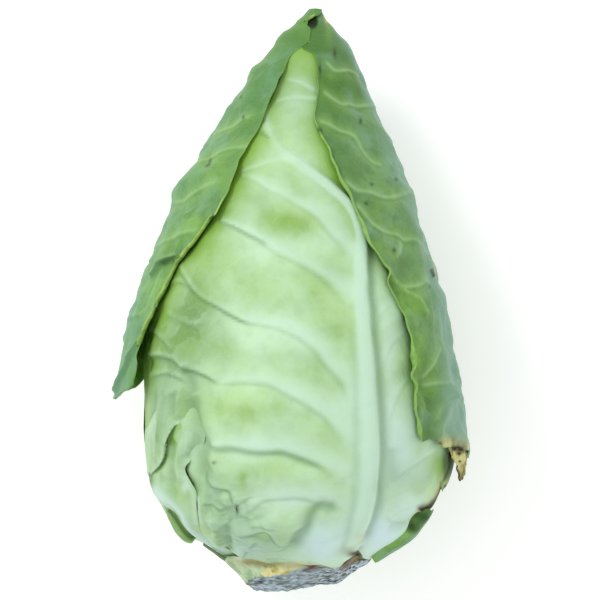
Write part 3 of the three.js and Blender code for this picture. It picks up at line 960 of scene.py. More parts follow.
# soft valleys, ridges where the depth is negative: (points, depth, half width, darkness of the painted
# shade)
FRONT_VALLEYS = [
    ([(-42.8, 82), (-42.5, 74), (-41.8, 67), (-40.2, 63), (-38.3, 58.4), (-38, 54), (-36.8, 48),
      (-33, 43)], 2.2, 3.4, 0.45),
    ([(-37, 50), (-33, 57), (-31.5, 64), (-33, 74)], -1.5, 4.2, 0.0),
    ([(-46.5, 80), (-47.4, 74), (-48, 70)], -1.4, 4.4, 0.0),
    ([(-58, 84), (-58.4, 74), (-58.6, 66), (-58.4, 56)], 1.5, 2.8, 0.4),
    ([(-54, 82), (-54.6, 74), (-55.6, 66), (-56.4, 58), (-57.6, 52)], -1.3, 1.8, 0.0),
    ([(-51, 82), (-50, 76), (-49.6, 71)], 1.3, 2.6, 0.35),
    ([(-46, 91), (-44, 86), (-42.5, 80)], 1.4, 3.0, 0.4),
    ([(-56, 102), (-50, 106), (-42, 104)], -1.0, 4.0, 0.0),
    ([(-28.7, 29), (-28.2, 23), (-27, 17.5)], 1.4, 1.8, 0.5),
    ([(-37.4, 48), (-37, 40), (-37.4, 33)], -1.2, 1.8, 0.0),
    ([(-31, 40), (-28.4, 38.6), (-27.4, 34.5)], -1.4, 2.2, 0.0),
    ([(-34, 33), (-33, 25), (-30.5, 19)], -1.3, 2.2, 0.0),
    ([(-24, 23), (-17, 23.4), (-11.5, 21.5)], -0.9, 1.6, 0.0),
    ([(-4, 17), (-3.1, 19.3), (-1, 21.2), (0.3, 23.7), (3.2, 26.5), (5.2, 31), (8.4, 34.8),
      (12.5, 34.5), (16, 31)], 2.2, 2.4, 0.5),
    ([(13, 10), (12.5, 20), (14, 29)], -2.6, 8.0, 0.0),
    ([(-14, 30), (-4, 28), (1, 30)], -1.2, 4.0, 0.0),
    ([(-2, 73), (-18, 76), (-32, 74)], -0.9, 5.0, 0.0),
    ([(16, 52), (-2, 46), (-18, 48)], -0.9, 5.0, 0.0),
    ([(39, 44), (38, 52), (38.5, 60)], 1.2, 3.4, 0.25),
    ([(36, 26), (42, 28), (50, 32)], 0.9, 3.0, 0.2),
    ([(-40, 60.5), (-33.4, 58.2), (-25, 57.2), (-17.7, 56.4), (-8.3, 56.4), (-2, 55),
      (5.8, 52.6), (13, 49)], 0.6, 1.3, 0.5),
]
# soft patches of each mark: (x, y, half width, half height, strength); the shade and deep
# spots in the pocket by the right edge are painted shade
FRONT_SPOTS = {
    "blotch_and_shade": [(-5.5, 150, 13, 6.5, 1.0), (-36.5, 131, 6, 9, 0.6), (6, 124, 12, 6, 0.5),
        (15.2, 106.6, 8, 7, 0.6), (-3, 168.5, 6, 4.5, 0.5), (1.8, 162.8, 7, 3.5, 0.5),
        (-22.2, 45.9, 1.8, 3.4, 1.0), (-12, 49, 14, 6, 0.35), (14, 62, 9, 4.5, 0.6),
        (-16, 74, 20, 5, 0.45), (8, 89, 12, 6, 0.6), (12, 131, 9, 6, 0.35), (48, 42, 3, 4, 0.6),
        (16, 84, 5, 5, 0.4), (-45, 100, 9, 5, 0.4), (-3, 205, 9, 2.6, 0.3), (-8, 118, 18, 5, 0.3),
        (4, 216, 5, 6, 0.4), (-31.5, 23, 2.2, 5, 0.7), (-16, 23.6, 6, 1.2, 0.6),
        (-29, 98, 9, 4, 0.4), (20, 46, 6, 3, 0.4), (56.5, 50, 4, 6, 0.8), (-4, 150, 8, 4, 0.6),
        (-38, 120, 4, 4, 0.5)],
    "green": [(-54, 104, 12, 20, 0.75), (-42, 116, 12, 13, 0.5), (-57, 68, 8, 24, 0.6),
        (-13, 22, 15, 7, 0.3), (-32, 30, 10, 16, 0.25), (-48, 86, 12, 12, 0.4),
        (-41, 50, 5, 18, 0.25), (2, 214, 12, 12, 0.25), (-3, 196, 16, 10, 0.12),
        (-18, 160, 11, 8, 0.22), (54, 50, 6, 8, 0.25), (8, 183, 8, 14, 0.15),
        (-30, 142, 8, 9, 0.25), (12, 131, 9, 6, 0.25), (-20, 126, 10, 4, 0.15),
        (-8, 96, 14, 4, 0.12), (-47, 107, 11, 11, 0.75), (-36, 102, 8, 6, 0.5),
        (-44, 115, 8, 8, 0.7), (-51, 100, 7, 10, 0.6), (-52, 62, 5, 9, 0.3),
        (-24, 40, 10, 10, 0.15), (-22, 30, 12, 8, 0.2), (-45, 111, 6, 5, 0.6),
        (-42, 127, 4, 8, 0.6), (-40, 98, 6, 4, 0.5), (-47, 74, 7, 7, 0.5), (-44, 115, 7, 6, 0.4)],
    "base": [(0, 200, 9, 14, 0.25), (9, 21, 11, 9, 0.9), (34, 24, 11, 9, 0.95), (46, 34, 8, 6, 0.5),
        (2, 38, 10, 3, 0.4), (24, 30, 7, 12, 0.4), (40, 54, 6, 14, 0.4), (-19, 17.5, 5, 2.5, 0.5),
        (-22, 20.5, 4, 6, 0.3), (30, 60, 8, 30, 0.35), (44, 66, 7, 14, 0.35), (-8, 60, 20, 3, 0.25),
        (29, 40, 4, 20, 0.5), (38, 102, 4, 18, 0.35)],
    "bloom_and_sheen": [(-15, 18, 14, 6, 0.5), (-34, 38, 7, 9, 0.35), (-24, 24, 8, 6, 0.45),
        (-55, 80, 5, 12, 0.4), (46, 47, 8, 6, 0.45)],
    "deep": [(-22, 46.6, 1.0, 1.6, 0.5), (58, 51, 3, 5, 0.8), (23, 14, 4, 2, 0.5),
        (-5, 150, 8, 4, 0.35)],
    "dark": [(22.4, 17.8, 2.6, 1.0, 1.0), (-33.6, 52.9, 0.9, 0.7, 0.6),
        (-24.9, 33.6, 0.6, 2.0, 1.0)],
    "dry": [(21, 19, 4, 1.6, 0.5), (25.4, 23.4, 3, 2.4, 0.35), (2, 12.5, 9, 1.0, 0.4)],
    "shade": [(59.3, 51.5, 1.4, 5, 0.85)],
    "vein_and_highlight": [(-46, 66, 2, 3, 0.4)],
}
TONGUE_EDGE = [(-44.6, 70.7), (-47, 68.8), (-49.4, 67.4), (-51, 65), (-52.4, 61.6),
               (-53.5, 55.8), (-54.6, 52.7), (-57, 50), (-59, 48.3), (-61, 46.9)]
BULGE_EDGE = [(-47, 61), (-46, 56.5), (-44.8, 53.8), (-45.7, 50.6), (-45.3, 48.6), (-43.5, 45.2),
              (-41.2, 41.8), (-40, 39.1), (-39.6, 36.7), (-39.8, 32), (-39, 27.2)]
FRONT_FOOT = [(-39, 27.2), (-35.4, 21.4), (-31, 18), (-27.5, 15), (-24, 12.5)]
FOOT_LINE = [(-36, 14), (-29, 14.6), (-24, 12.8), (-18, 13.8), (-12, 12.6), (-6, 12.4), (0, 11.6),
             (5, 12.2), (9, 13.4), (13, 12.6), (16.5, 13), (19, 15), (21.5, 17.2), (24.4, 17),
             (26.2, 14.8), (28, 13), (31, 11.6), (36, 11)]


def covered(sheet):
    """How deep the wrappers cover each place: 0 in the open, 1 a few degrees past a margin."""
    theta, share = sheet.theta, sheet.share
    past_left = np.interp(share, LEFT_EDGE[:, 1], LEFT_EDGE[:, 0], left=-9) - theta
    past_right = theta - np.interp(share, RIGHT_EDGE[:, 1], RIGHT_EDGE[:, 0], left=9)
    return np.maximum(smooth(0, 0.12, np.maximum(past_left, past_right)), smooth(0.915, 0.93, share))


def cut_out(sheet, outline):
    """Cuts an outline of places out of a sheet: the quads whose middle lies inside it are dropped,
    and the grid's points along the cut slide to the nearest point of the outline. Returns the
    quads that are kept."""
    scale = (GIRTH, LENGTH)
    loop = np.asarray(outline) * scale
    flat = np.stack([sheet.theta, sheet.share], -1) * scale
    middle = (flat[1:, 1:] + flat[:-1, :-1]) / 2
    a, b = loop, np.roll(loop, -1, axis=0)
    inside = np.zeros(middle.shape[:2], bool)
    for (ax, ay), (bx, by) in zip(a, b):
        spans = (ay > middle[..., 1]) != (by > middle[..., 1])
        crossing = ax + (middle[..., 1] - ay) * (bx - ax) / (by - ay if by != ay else 1)
        inside ^= spans & (middle[..., 0] < crossing)
    dropped = np.zeros(flat.shape[:2], int)
    kept = np.zeros(flat.shape[:2], int)
    for dr in (0, 1):
        for dc in (0, 1):
            rows, columns = inside.shape
            dropped[dr : dr + rows, dc : dc + columns] += inside
            kept[dr : dr + rows, dc : dc + columns] += ~inside
    border = (dropped > 0) & (kept > 0)
    points = flat[border]
    best, nearest = np.full(len(points), 1.0), points.copy()
    for start, stop in zip(a, b):
        d = stop - start
        t = np.clip((points - start) @ d / max(d @ d, 1e-12), 0, 1)
        foot = start + t[:, None] * d
        distance = np.linalg.norm(points - foot, axis=1)
        wins = distance < best
        best = np.where(wins, distance, best)
        nearest = np.where(wins[:, None], foot, nearest)
    sheet.theta[border], sheet.share[border] = (nearest / scale).T
    return ~inside


def front_midrib(sheet):
    """The broad midrib: a bell on its left and a steep flank with a groove on its right, as wide
    and high as MIDRIB_SIZE says."""
    distance, t, left = sheet.near(places(MIDRIB), 45 * MM, 80)
    share, width, rise = np.transpose(MIDRIB_SIZE)
    width, rise = np.interp(t, share, width) * MM, np.interp(t, share, rise) * MM
    soft, steep = bell(distance, 0.62 * width), 1 - smooth(0.1, 0.62, distance / width)
    groove = bell(distance - 0.74 * width, 2.4 * MM) * (left < 0)
    end = smooth(0, 0.04, t) * smooth(0.8, 0.6, t)
    sheet.relief += 1.2 * rise * np.where(left > 0, soft, steep) - 0.4 * rise * groove
    faded = 1 - 0.7 * smooth(0.76, 0.94, t)
    sheet.mark("vein_and_highlight", 0.95 * faded * (1 - smooth(0.2 + 0.14 * faded, 1.3 - 0.7 * faded,
                                                  distance / width)))
    # painted shade in the groove right of the midrib, and softly along its left foot
    sheet.mark("crease_shade", 0.55 * bell(distance - 0.68 * width, 2.2 * MM) * (left < 0) * end)
    sheet.mark("crease_shade", 0.25 * bell(distance - 0.7 * width, 1.6 * MM) * (left > 0) * end
               * smooth(0.5, 0.4, t))
    sheet.from_vein = distance


def crumple(sheet):
    """The crumpled foot: within 10 to 22 mm of its middle, two sizes of noise, pressed into creases
    where the noise is near 0, and none of it close to the torn edges."""
    far = np.hypot(sheet.seen[..., 0] / MM + 27, (sheet.seen[..., 1] / MM - 27) * 0.9)
    crumpled = smooth(22, 10, far) * smooth(-4, -10, sheet.seen[..., 0] / MM)
    for line in (BULGE_EDGE, FRONT_FOOT):
        crumpled *= smooth(1 * MM, 6 * MM, sheet.near(places(line), 12 * MM)[0])
    for size, depth, seed in ((8, 1.0, 14), (4.2, 0.55, 15)):
        wave = noise(sheet.bare @ ((0.5, -0.3, 0), (0.4, 1.3, 0), (0, 0, 1)), size * MM, seed)
        sheet.relief += crumpled * depth * (0.75 * wave - 0.75 * bell(wave, 0.2)) * MM
        # painted shade in the creases, painted highlight on the crests
        sheet.mark("crease_shade", 0.06 * crumpled * bell(wave, 0.1))
        sheet.mark("vein_and_highlight", 0.3 * crumpled * bell(wave - 0.4, 0.2))
    sheet.mark("bloom_and_sheen", 0.4 * crumpled * smooth(-0.2, 0.6, noise(sheet.bare, 7 * MM, 19)))


def front_borders(sheet):
    """Painted shade in deep and yellow greens where the wrappers' edges lie on it: marks that fall
    off as exp(-(distance / width)^power), darkest right under the left wrapper's lower edge. Its
    left side under the flap is painted in the same shade."""
    from_left, t, _ = sheet.near(LEFT_EDGE, 30 * MM, 120)
    sheet.mark("deep", 0.95 * np.exp(-((from_left / (5.5 * MM)) ** 1.4)))
    sheet.mark("blotch_and_shade", 0.9 * np.exp(-((from_left / (11 * MM)) ** 1.6)))
    sheet.mark("shade", 0.9 * np.exp(-from_left / (1.6 * MM)) * smooth(0.45, 0.2, t))
    from_right = sheet.near(RIGHT_EDGE, 30 * MM, 120)[0]
    higher = smooth(0.45, 0.65, sheet.share)
    sheet.mark("deep", (0.15 + 0.8 * higher) * np.exp(-((from_right / (4.5 * MM)) ** 1.4)))
    sheet.mark("blotch_and_shade", (0.1 + 0.8 * higher) * np.exp(-((from_right / (9 * MM)) ** 1.6)))
    sheet.mark("blotch_and_shade", 0.3 * smooth(0.5, 0.4, sheet.share) * bell(from_right - 3 * MM, 3 * MM))
    # painted shade on the front leaf's side under the left flap
    outer = smooth(0.17, 0.22, sheet.share) * smooth(0.48, 0.42, sheet.share)
    sheet.mark("blotch_and_shade", 0.8 * outer * smooth(-66, -80, np.degrees(sheet.theta)))
    sheet.mark("deep", 1.0 * outer * smooth(-74, -86, np.degrees(sheet.theta)))


def front_tears(sheet):
    """The torn edges at the lower left, with painted highlights on their lit lips, and the dried
    black margin at the lower right with painted shade beside it.
    """
    distance, t, above = sheet.near(places(TONGUE_EDGE), 16 * MM)
    sheet.relief += 0.6 * MM * bell(distance, 5 * MM) * (above > 0) * smooth(0, 0.25, t)
    # painted highlight on the tongue's lit lip
    sheet.mark("vein_and_highlight", 0.9 * bell(distance, 0.7 * MM) * (above > 0) * smooth(0, 0.1, t))
    distance, t, _ = sheet.near(places(BULGE_EDGE), 12 * MM)
    sheet.relief += np.interp(t, [0, 0.5, 0.66, 1], [-1, -1, 0.9, 0.5]) * MM * bell(distance, 3 * MM)
    sheet.stroke("dry", [(59, 46), (57, 41), (55, 37), (52.4, 34.4), (48, 32)], 1.5, 0.8)
    sheet.stroke("dark", [(59.4, 46), (57.9, 41.6), (56.2, 38), (54, 35.4), (51.4, 34), (49, 32.6)],
                 1.5, 1.0)
    sheet.stroke("shade", [(60.6, 58), (61.4, 55), (60.8, 51), (59.8, 47.6), (58.9, 44)], 0.9, 0.95)
    # painted highlight on the lit edge beside the bulge
    sheet.stroke("vein_and_highlight", [(-40.6, 40.5), (-39.2, 37), (-39.2, 32), (-38.4, 28)], 0.8, 0.6)


def front_cuts(sheet):
    """Cuts the notch at the lower left and the ragged foot. Returns the quads that are kept."""
    notch = np.concatenate(
        [
            run(places(TONGUE_EDGE), 60),
            degrees((-112, 0.17), (-112, 0.02), (-30, 0.02)),
            run(places(FRONT_FOOT), 30)[::-1],
            run(places(BULGE_EDGE), 60)[::-1],
            places([(-44.6, 60)]),
        ]
    )
    foot = np.concatenate([places(FOOT_LINE), degrees((55, 0.01), (-55, 0.01))])
    return cut_out(sheet, notch) & cut_out(sheet, foot)


def front_leaf():
    """The pale leaf in front: midrib, side veins, folds, the crumpled foot, and a notch at its
    lower left between the tongue and the bulging leaf beneath."""
    spread = lambda t: t ** np.linspace(1.4, 1.05, 336)[:, None, None]
    sheet = Sheet(FRONT_LEFT, FRONT_RIGHT, 222, 336, front_level, spread, 1.12)
    front_midrib(sheet)
    for points, width, rise, dark in SIDE_VEINS:
        pale = 0.4 + 0.78 * dark
        sheet.vein_and_highlight(places(points), width * MM, VEIN_LIFT * rise * MM, 0.35, pale, 0.75 * dark)
    sheet.quilt(1.1 * MM, 8 * MM)
    sheet.lumps(24 * MM, 0.7 * MM, 11)
    sheet.lumps(9 * MM, 0.22 * MM, 12)
    middle_blade = (1 - bell(sheet.from_vein, 7 * MM)) * (0.55 + 0.45 * noise(sheet.bare, 14 * MM, 13))
    sheet.mark("blotch_and_shade", 0.4 * middle_blade)
    for points, step, reach, dark in FRONT_FOLDS:
        sheet.fold(places(points), FOLD_LIFT * step * MM, reach * MM, dark, 0.65 * MM)
    for points, depth, width, dark in FRONT_VALLEYS:
        sheet.valley(places(points), depth * MM, width * MM, dark)
    crumple(sheet)
    for mark, patches in FRONT_SPOTS.items():
        for patch in patches:
            sheet.spot(mark, *patch)
    front_borders(sheet)
    front_tears(sheet)
    under = covered(sheet)
    close = np.where(sheet.theta < 0, smooth(0.48, 0.56, sheet.share), smooth(0.23, 0.27, sheet.share))
    sheet.relief = sheet.relief * (1 - 0.85 * under * close) - 0.9 * MM * under * close
    sheet.bump(-92, 0.38, 14, 0.05, 1.6)
    keep = front_cuts(sheet)
    grid, marks = sheet.closed()
    return two_faced("pale_front_leaf", grid, marks, PALE_LEAF, keep)


# ------------------------------------------------------------------ the younger leaf beside it
def inner_left_leaf():
    """The younger leaf that bulges out through the notch: its right edge lies over the front
    leaf's crumpled foot, and its blue-white base rib sweeps down to the stump."""
    left = degrees((-100, 0.04), (-118, 0.12), (-122, 0.22), (-116, 0.34))
    right = np.concatenate(
        [
            degrees((-34, 0.036)),
            places([(-24, 13), (-27.5, 16), (-31, 18.6), (-35.2, 21.8), (-38.8, 27.2), (-39.6, 32),
                    (-39.9, 36.7), (-40, 39.1), (-40.8, 41.8), (-42.6, 45.2), (-44.1, 48.6),
                    (-44.6, 50.6), (-43.2, 54), (-40.4, 58), (-38.8, 64), (-39.4, 70)]),
            degrees((-42, 0.34)),
        ]
    )
    sheet = Sheet(left, right, 150, 180, front_level)
    share = sheet.share
    proud = smooth(0.02, 0.13, share) * smooth(0.31, 0.25, share)
    buried = smooth(51.5 * MM, 57 * MM, sheet.seen[..., 1])
    proud *= 1 - buried * (1 - smooth(0.5 * MM, 5.5 * MM, sheet.from_right))
    sheet.relief += (-1.4 + 2.6 * proud - 1.5 * smooth(0.27, 0.33, share)) * MM
    distance, t, _ = sheet.near(places(TONGUE_EDGE), 14 * MM)
    sheet.relief -= 0.5 * MM * bell(distance, 1.6 * MM) * smooth(0, 0.2, t)
    # painted shade in the gap under the tongue's edge
    sheet.mark("crease_shade", 0.4 * bell(distance - 0.3 * MM, 0.7 * MM) * smooth(0.05, 0.3, t))
    sheet.relief += 1.4 * MM * bell(sheet.from_right - 4 * MM, 7 * MM) * proud
    base_rib = places([(-61, 47), (-58.5, 43), (-55.3, 40.1), (-49.9, 36.7), (-45.1, 32),
                       (-42.6, 26.5), (-38.3, 22.1), (-33.2, 18), (-27, 13.5)])
    distance = sheet.near(base_rib, 20 * MM)[0]
    sheet.relief += 1.3 * MM * bell(distance, 4 * MM)
    sheet.mark("green", 0.42)
    sheet.mark("base", 0.6 * bell(distance, 3.4 * MM))
    sheet.spot("blotch_and_shade", -50, 60, 4, 6, 0.6)
    sheet.spot("blotch_and_shade", -47, 40, 5, 4, 0.6)
    sheet.spot("vein_and_highlight", -44.4, 43.4, 1.4, 2.4, 0.8)
    sheet.valley(places([(-50, 64), (-51, 57), (-50.5, 49), (-49, 43)]), 1.4 * MM, 3.4 * MM, 0.3)
    sheet.valley(places([(-46.5, 61), (-47, 52), (-45.6, 45)]), -1.0 * MM, 2 * MM, 0)
    sheet.valley(places([(-56, 47), (-51, 43.5), (-47, 39.5)]), 0.9 * MM, 2.4 * MM, 0.25)
    sheet.lumps(11 * MM, 0.6 * MM, 21)
    # painted highlight on the lit edge over the crumpled foot
    edge = [(-45.4, 49), (-43.6, 45), (-41.6, 41), (-40.8, 36), (-40.6, 31), (-40, 28)]
    sheet.stroke("vein_and_highlight", edge, 1.0, 0.6)
    # painted shade in the gaps beside the tongue's edge and along the leaf's left side
    sheet.stroke("deep", [(-53.8, 57), (-55.4, 52), (-58.5, 48.8)], 1.6, 0.8)
    sheet.stroke("deep", [(-60.5, 49), (-59.2, 45), (-58.4, 41), (-57.4, 39)], 2.2, 1.0)
    sheet.stroke("shade", [(-60.5, 49), (-59.2, 45), (-58.4, 41), (-57.4, 39)], 0.9, 0.7)
    sheet.stroke("deep", [(-46, 68.4), (-48.5, 66.8), (-51, 63.5), (-52.6, 59)], 1.8, 0.8)
    grid, marks = sheet.closed()
    return two_faced("inner_left_blade", grid, marks, PALE_LEAF)


# ------------------------------------------------------------------ the wrappers
def side_branches(sheet, stem, starts, reach, climb, width, rise):
    """Side veins by rule: from a stem at some shares of the length, one goes to each side, `reach`
    degrees round the head, climbing `climb` of the length: the climb grows as the way out^1.6."""
    middle = run(stem, 200)
    for start in starts:
        for way in (-1, 1):
            from_share = start + (0.03 if way > 0 else 0)
            foot = middle[np.argmin(np.abs(middle[:, 1] - from_share))]
            out = np.linspace(0, 1, 5)
            angle = foot[0] + way * np.radians(reach) * out * (1 - 0.25 * start)
            share = foot[1] + climb * out**1.6
            line = np.stack([angle, np.minimum(share, 0.985)], 1)
            sheet.vein_and_highlight(line, width * (1 - 0.4 * start), rise * (1 - 0.4 * start), 0.25, 0.6)


def rib(sheet, line, width, rise):
    """A leaf's midrib: a flat-topped ridge whose size shrinks from all at its base to a fifth at the
    tip, white-blue beside its base."""
    distance, t, _ = sheet.near(line, 30 * MM, 80)
    size = 1 - 0.8 * t
    sheet.relief += rise * size * (1 - smooth(0.25, 0.9, distance / (width * size)))
    sheet.mark("vein_and_highlight", 0.9 * (1 - smooth(0.3, 0.7, distance / (width * size))))
    sheet.mark("base", 0.8 * bell(distance, 1.6 * width) * smooth(0.25, 0.0, t))
    sheet.from_vein = np.minimum(sheet.from_vein, distance)


def left_wrapper_marks(sheet):
    """Holes painted dark as their shade, yellow-green and bluish patches of the left wrapper with
    painted sheen towards its side, painted shade on the hidden inner face of its lower half, and
    the painted shade of its pleat and of the lip of its flap.
    """
    # holes, painted dark as the shade seen through them
    for x, y, half_x, half_y in ((-22.5, 194.4, 0.6, 0.9), (-23.4, 202.5, 0.5, 0.5),
                                 (-36.4, 176.4, 0.7, 1.6), (-37.2, 174.6, 1.4, 0.8)):
        sheet.spot("dark", x, y, half_x, half_y, 0.9)
    sheet.spot("blotch_and_shade", -42, 150, 5, 6, 0.6)
    sheet.spot("blotch_and_shade", -31, 172, 5, 9, 0.35)
    sheet.spot("blotch_and_shade", -60, 124, 5, 9, 0.5)
    sheet.spot("blotch_and_shade", 3, 233, 5, 5, 0.5)
    # painted sheen towards the side, bluish like the bloom
    sheet.mark("bloom_and_sheen", 0.6 * smooth(-58, -88, np.degrees(sheet.theta)))
    sheet.mark("green", 0.4 * bell(sheet.from_right - 5 * MM, 6 * MM))
    sheet.mark("green", 0.3)
    lower = smooth(0.52, 0.46, sheet.share)
    # painted shade on the inner face of the lower half towards the side, seen in the gap under the flap
    sheet.mark("hollow", 0.55 * lower * smooth(-78, -90, np.degrees(sheet.theta)))
    sheet.mark("deep", 0.5 * smooth(0.8, 0.95, sheet.share))
    sheet.mark("green", 0.5 * smooth(0.7, 0.8, sheet.share))
    # painted shade in the slit under the flap's lip and along the pleat
    sheet.stroke("crease_shade", [(-64.4, 105), (-66.8, 97.5), (-69.5, 91), (-72.5, 84.5), (-74.5, 80.5)],
                 0.6, 1.0)
    sheet.stroke("crease_shade", [(-69, 96), (-70.6, 91), (-72, 86)], 0.5, 0.6)
    sheet.stroke("deep", [(-47, 137), (-50, 136), (-53, 135.2), (-57, 133)], 1.3, 0.9)
    sheet.stroke("shade", [(-47, 136.9), (-50, 136.2), (-52.6, 135.6), (-56, 133.8)], 0.6, 0.7)
    sheet.stroke("blotch_and_shade", [(-49, 132), (-54, 127), (-59, 118), (-62, 110)], 2.6, 0.6)


def left_wrapper():
    """The left outer leaf: it wraps the side, folds into a pleat at its middle and ends below in a
    flap that stands off the head; at the point it hoods the right one."""
    spread = lambda t: 1 - (1 - t) ** 1.4
    sheet = Sheet(LEFT_HIDDEN, LEFT_MARGIN, 200, 336, left_level, spread, bottom=LEFT_BOTTOM,
                  wavy=0.8 * MM)
    rib(sheet, degrees((-128, 0.05), (-122, 0.3), (-118, 0.55), (-112, 0.75), (-100, 0.93)),
        9 * MM, 2.2 * MM)
    side_branches(sheet, degrees((-128, 0.3), (-122, 0.45), (-118, 0.6), (-112, 0.75)),
                  (0.38, 0.5), 40, 0.1, 3.2 * MM, 0.7 * MM)
    for points in (
        [(-22.3, 182.1), (-26.9, 182.1), (-31.5, 180.2), (-35.4, 178.2), (-42, 176)],
        [(-20.5, 194.6), (-22.3, 193.9), (-26.9, 191.3), (-32.8, 189.4), (-37, 188)],
        [(-34, 167), (-41, 165), (-47, 161), (-52, 158)],
        [(-42, 147.5), (-46, 146.5), (-52, 143), (-57, 140)],
        [(-57, 131), (-59, 125), (-62, 118), (-66, 112)],
    ):
        sheet.vein_and_highlight(places(points, left_level), 1.3 * MM, 0.35 * MM, 0.5, 0.4)
    sheet.quilt(0.9 * MM, 9 * MM)
    sheet.lumps(26 * MM, 1.2 * MM, 31)
    sheet.lumps(13 * MM, 1.5 * MM, 32)
    sheet.lumps(6 * MM, 0.8 * MM, 33)
    sheet.relief *= 1 - 0.85 * smooth(0.8, 0.92, sheet.share)
    sheet.mark("blotch_and_shade", 0.45 * bell(sheet.from_vein, 4 * MM))
    for points, step, reach, dark in (
        ([(-48.2, 136.8), (-50, 136.7), (-52.6, 136), (-56.7, 134.2), (-58.7, 131.2),
          (-61, 128)], 2.0, 9, 1.0),
        ([(-71.5, 110), (-68.6, 111), (-66.4, 112.4), (-64.6, 113.2)], 0.8, 3, 0.9),
        ([(-64.4, 105), (-66.6, 98), (-69.4, 91), (-72.4, 84.6), (-74.6, 80.6)], 1.8, 4, 1.0),
        ([(-46.7, 154), (-43.9, 155.2), (-42.6, 158.3)], 0.4, 2, 0.5),
        ([(-46.9, 154), (-46.5, 150)], 0.3, 2, 0.4),
    ):
        sheet.fold(places(points, left_level), step * MM, reach * MM, dark)
    left_wrapper_marks(sheet)
    sheet.bump(-90, 0.575, 30, 0.035, 3.0)
    sheet.bump(-90, 0.66, 30, 0.025, 2.0)
    flank = smooth(-60, -80, np.degrees(sheet.theta))
    sheet.relief += 0.45 * MM * flank * noise(sheet.bare, 3.5 * MM, 34)
    sheet.bump(-90, 0.715, 30, 0.02, -1.6)
    sheet.bump(-80, 0.87, 40, 0.012, 1.6)
    sheet.bump(-90, 0.935, 50, 0.012, 1.2)
    sheet.roll(1, [(0.3, 0.8, 20, 0.3, 0.4), (0.5, 0.8, 30, 0.5, 0.5), (0.545, 1.1, 60, 0.5, 0.8),
                   (0.56, 1.2, 78, 0.5, 1.0), (0.62, 1.2, 72, 0.4, 0.95),
                   (0.65, 1.2, 45, 0.5, 0.4), (0.7, 1.2, 25, 0.5, 0.2), (0.9, 1.0, 15, 0.4, 0.1),
                   (1, 0.5, 8, 0.2, 0.0)])
    grid, marks = sheet.closed()
    return two_faced("left_wrapper", grid, marks, OUTER_LEAF)


def right_wrapper_marks(sheet):
    """Holes painted dark as their shade, the dark nick near the side, the dried lower end, and
    yellow-green and bluish patches, with painted sheen towards the side.
    """
    # holes painted dark as the shade seen through them, and blackened spots at the dried lower end
    for x, y, half_x, half_y in (
        (14.9, 220.3, 0.7, 2.0), (9, 213.4, 0.4, 2.4), (9.4, 189, 0.8, 1.4),
        (25.9, 192.9, 0.6, 1.4), (30.6, 167, 0.8, 0.8), (28.3, 159.2, 0.9, 0.8),
        (39.3, 139.6, 0.8, 1.2), (40, 168.6, 0.7, 0.7), (53.8, 124.6, 0.5, 0.9),
        (64.8, 58.2, 1.7, 0.7), (57.3, 60.6, 0.4, 0.8),
    ):
        sheet.spot("dark", x, y, half_x, half_y, 0.75)
    sheet.stroke("dark", [(53.4, 131.8), (54.6, 130), (55.4, 128.4)], 0.6, 0.9)
    sheet.stroke("dry", [(53, 138), (54.8, 135), (56, 132), (56.2, 128)], 1.0, 0.6)
    # the nick and its dark line end raggedly towards the underside
    turned = np.degrees(sheet.theta) + 6 * noise(sheet.bare, 2.5 * MM, 48)
    sheet.marks["dry"] = sheet.marks["dry"] * smooth(88, 78, turned)
    sheet.marks["dark"] = sheet.marks["dark"] * smooth(90, 80, turned)
    sheet.stroke("dry", [(56, 61.6), (60, 60), (65, 60), (71, 59)], 1.8, 0.65)
    sheet.stroke("dark", [(62.6, 58.6), (65, 58.9), (67.4, 58.2)], 0.8, 1.0)
    sheet.spot("blotch_and_shade", 12.7, 210.7, 3, 3, 0.5)
    sheet.spot("blotch_and_shade", 12.4, 230, 1.4, 5, 0.8)
    sheet.spot("dry", 12.4, 235, 1.4, 2.6, 0.6)
    sheet.spot("blotch_and_shade", 45, 116, 5, 8, 0.9)
    sheet.spot("blotch_and_shade", 48.6, 97, 3.4, 12, 1.0)
    sheet.spot("blotch_and_shade", 51, 74, 2, 9, 0.7)
    sheet.spot("green", 57, 84, 3.4, 8, 0.9)
    sheet.spot("deep", 51.6, 88, 1.4, 7, 0.7)
    sheet.spot("deep", 43, 134, 3, 6, 0.5)
    sheet.spot("bloom_and_sheen", 63, 78, 4, 16, 0.8)
    sheet.spot("bloom_and_sheen", 54, 140, 3, 10, 0.6)
    sheet.spot("dry", 62, 61.5, 5, 2.6, 0.5)
    sheet.spot("blotch_and_shade", 56, 84, 2, 5, 0.5)
    sheet.spot("blotch_and_shade", 33, 142, 5, 9, 0.5)
    sheet.spot("vein_and_highlight", 59, 70, 4, 9, 0.3)
    # painted sheen towards the side, bluish like the bloom
    sheet.mark("bloom_and_sheen", 0.9 * smooth(52, 80, np.degrees(sheet.theta)))
    sheet.mark("green", 0.6 * bell(sheet.from_left - 4 * MM, 8 * MM))
    sheet.mark("green", 1.0 * smooth(0.76, 0.88, sheet.share))


def hood_hollow(sheet):
    """The hollow under the left wrapper's hood, next to the point: a shallow dip painted dark as
    its shade, a painted shadow line beside it, and a dried edge.
    """
    hole = np.hypot((sheet.seen[..., 0] / MM - 5.8) / 2.4, (sheet.seen[..., 1] / MM - 233.4) / 3.0)
    sheet.relief -= 0.7 * MM * bell(hole, 1)
    sheet.mark("shade", smooth(1.25, 0.8, hole) * sheet.on_top)
    sheet.mark("dark", 0.75 * smooth(1.0, 0.6, hole) * sheet.on_top)
    sheet.stroke("shade", [(6.4, 234.5), (8.4, 236.8), (10, 238.4)], 0.6, 0.9)
    sheet.stroke("dry", [(10.4, 238), (11.4, 235.4), (12.2, 232.6)], 0.7, 0.8)


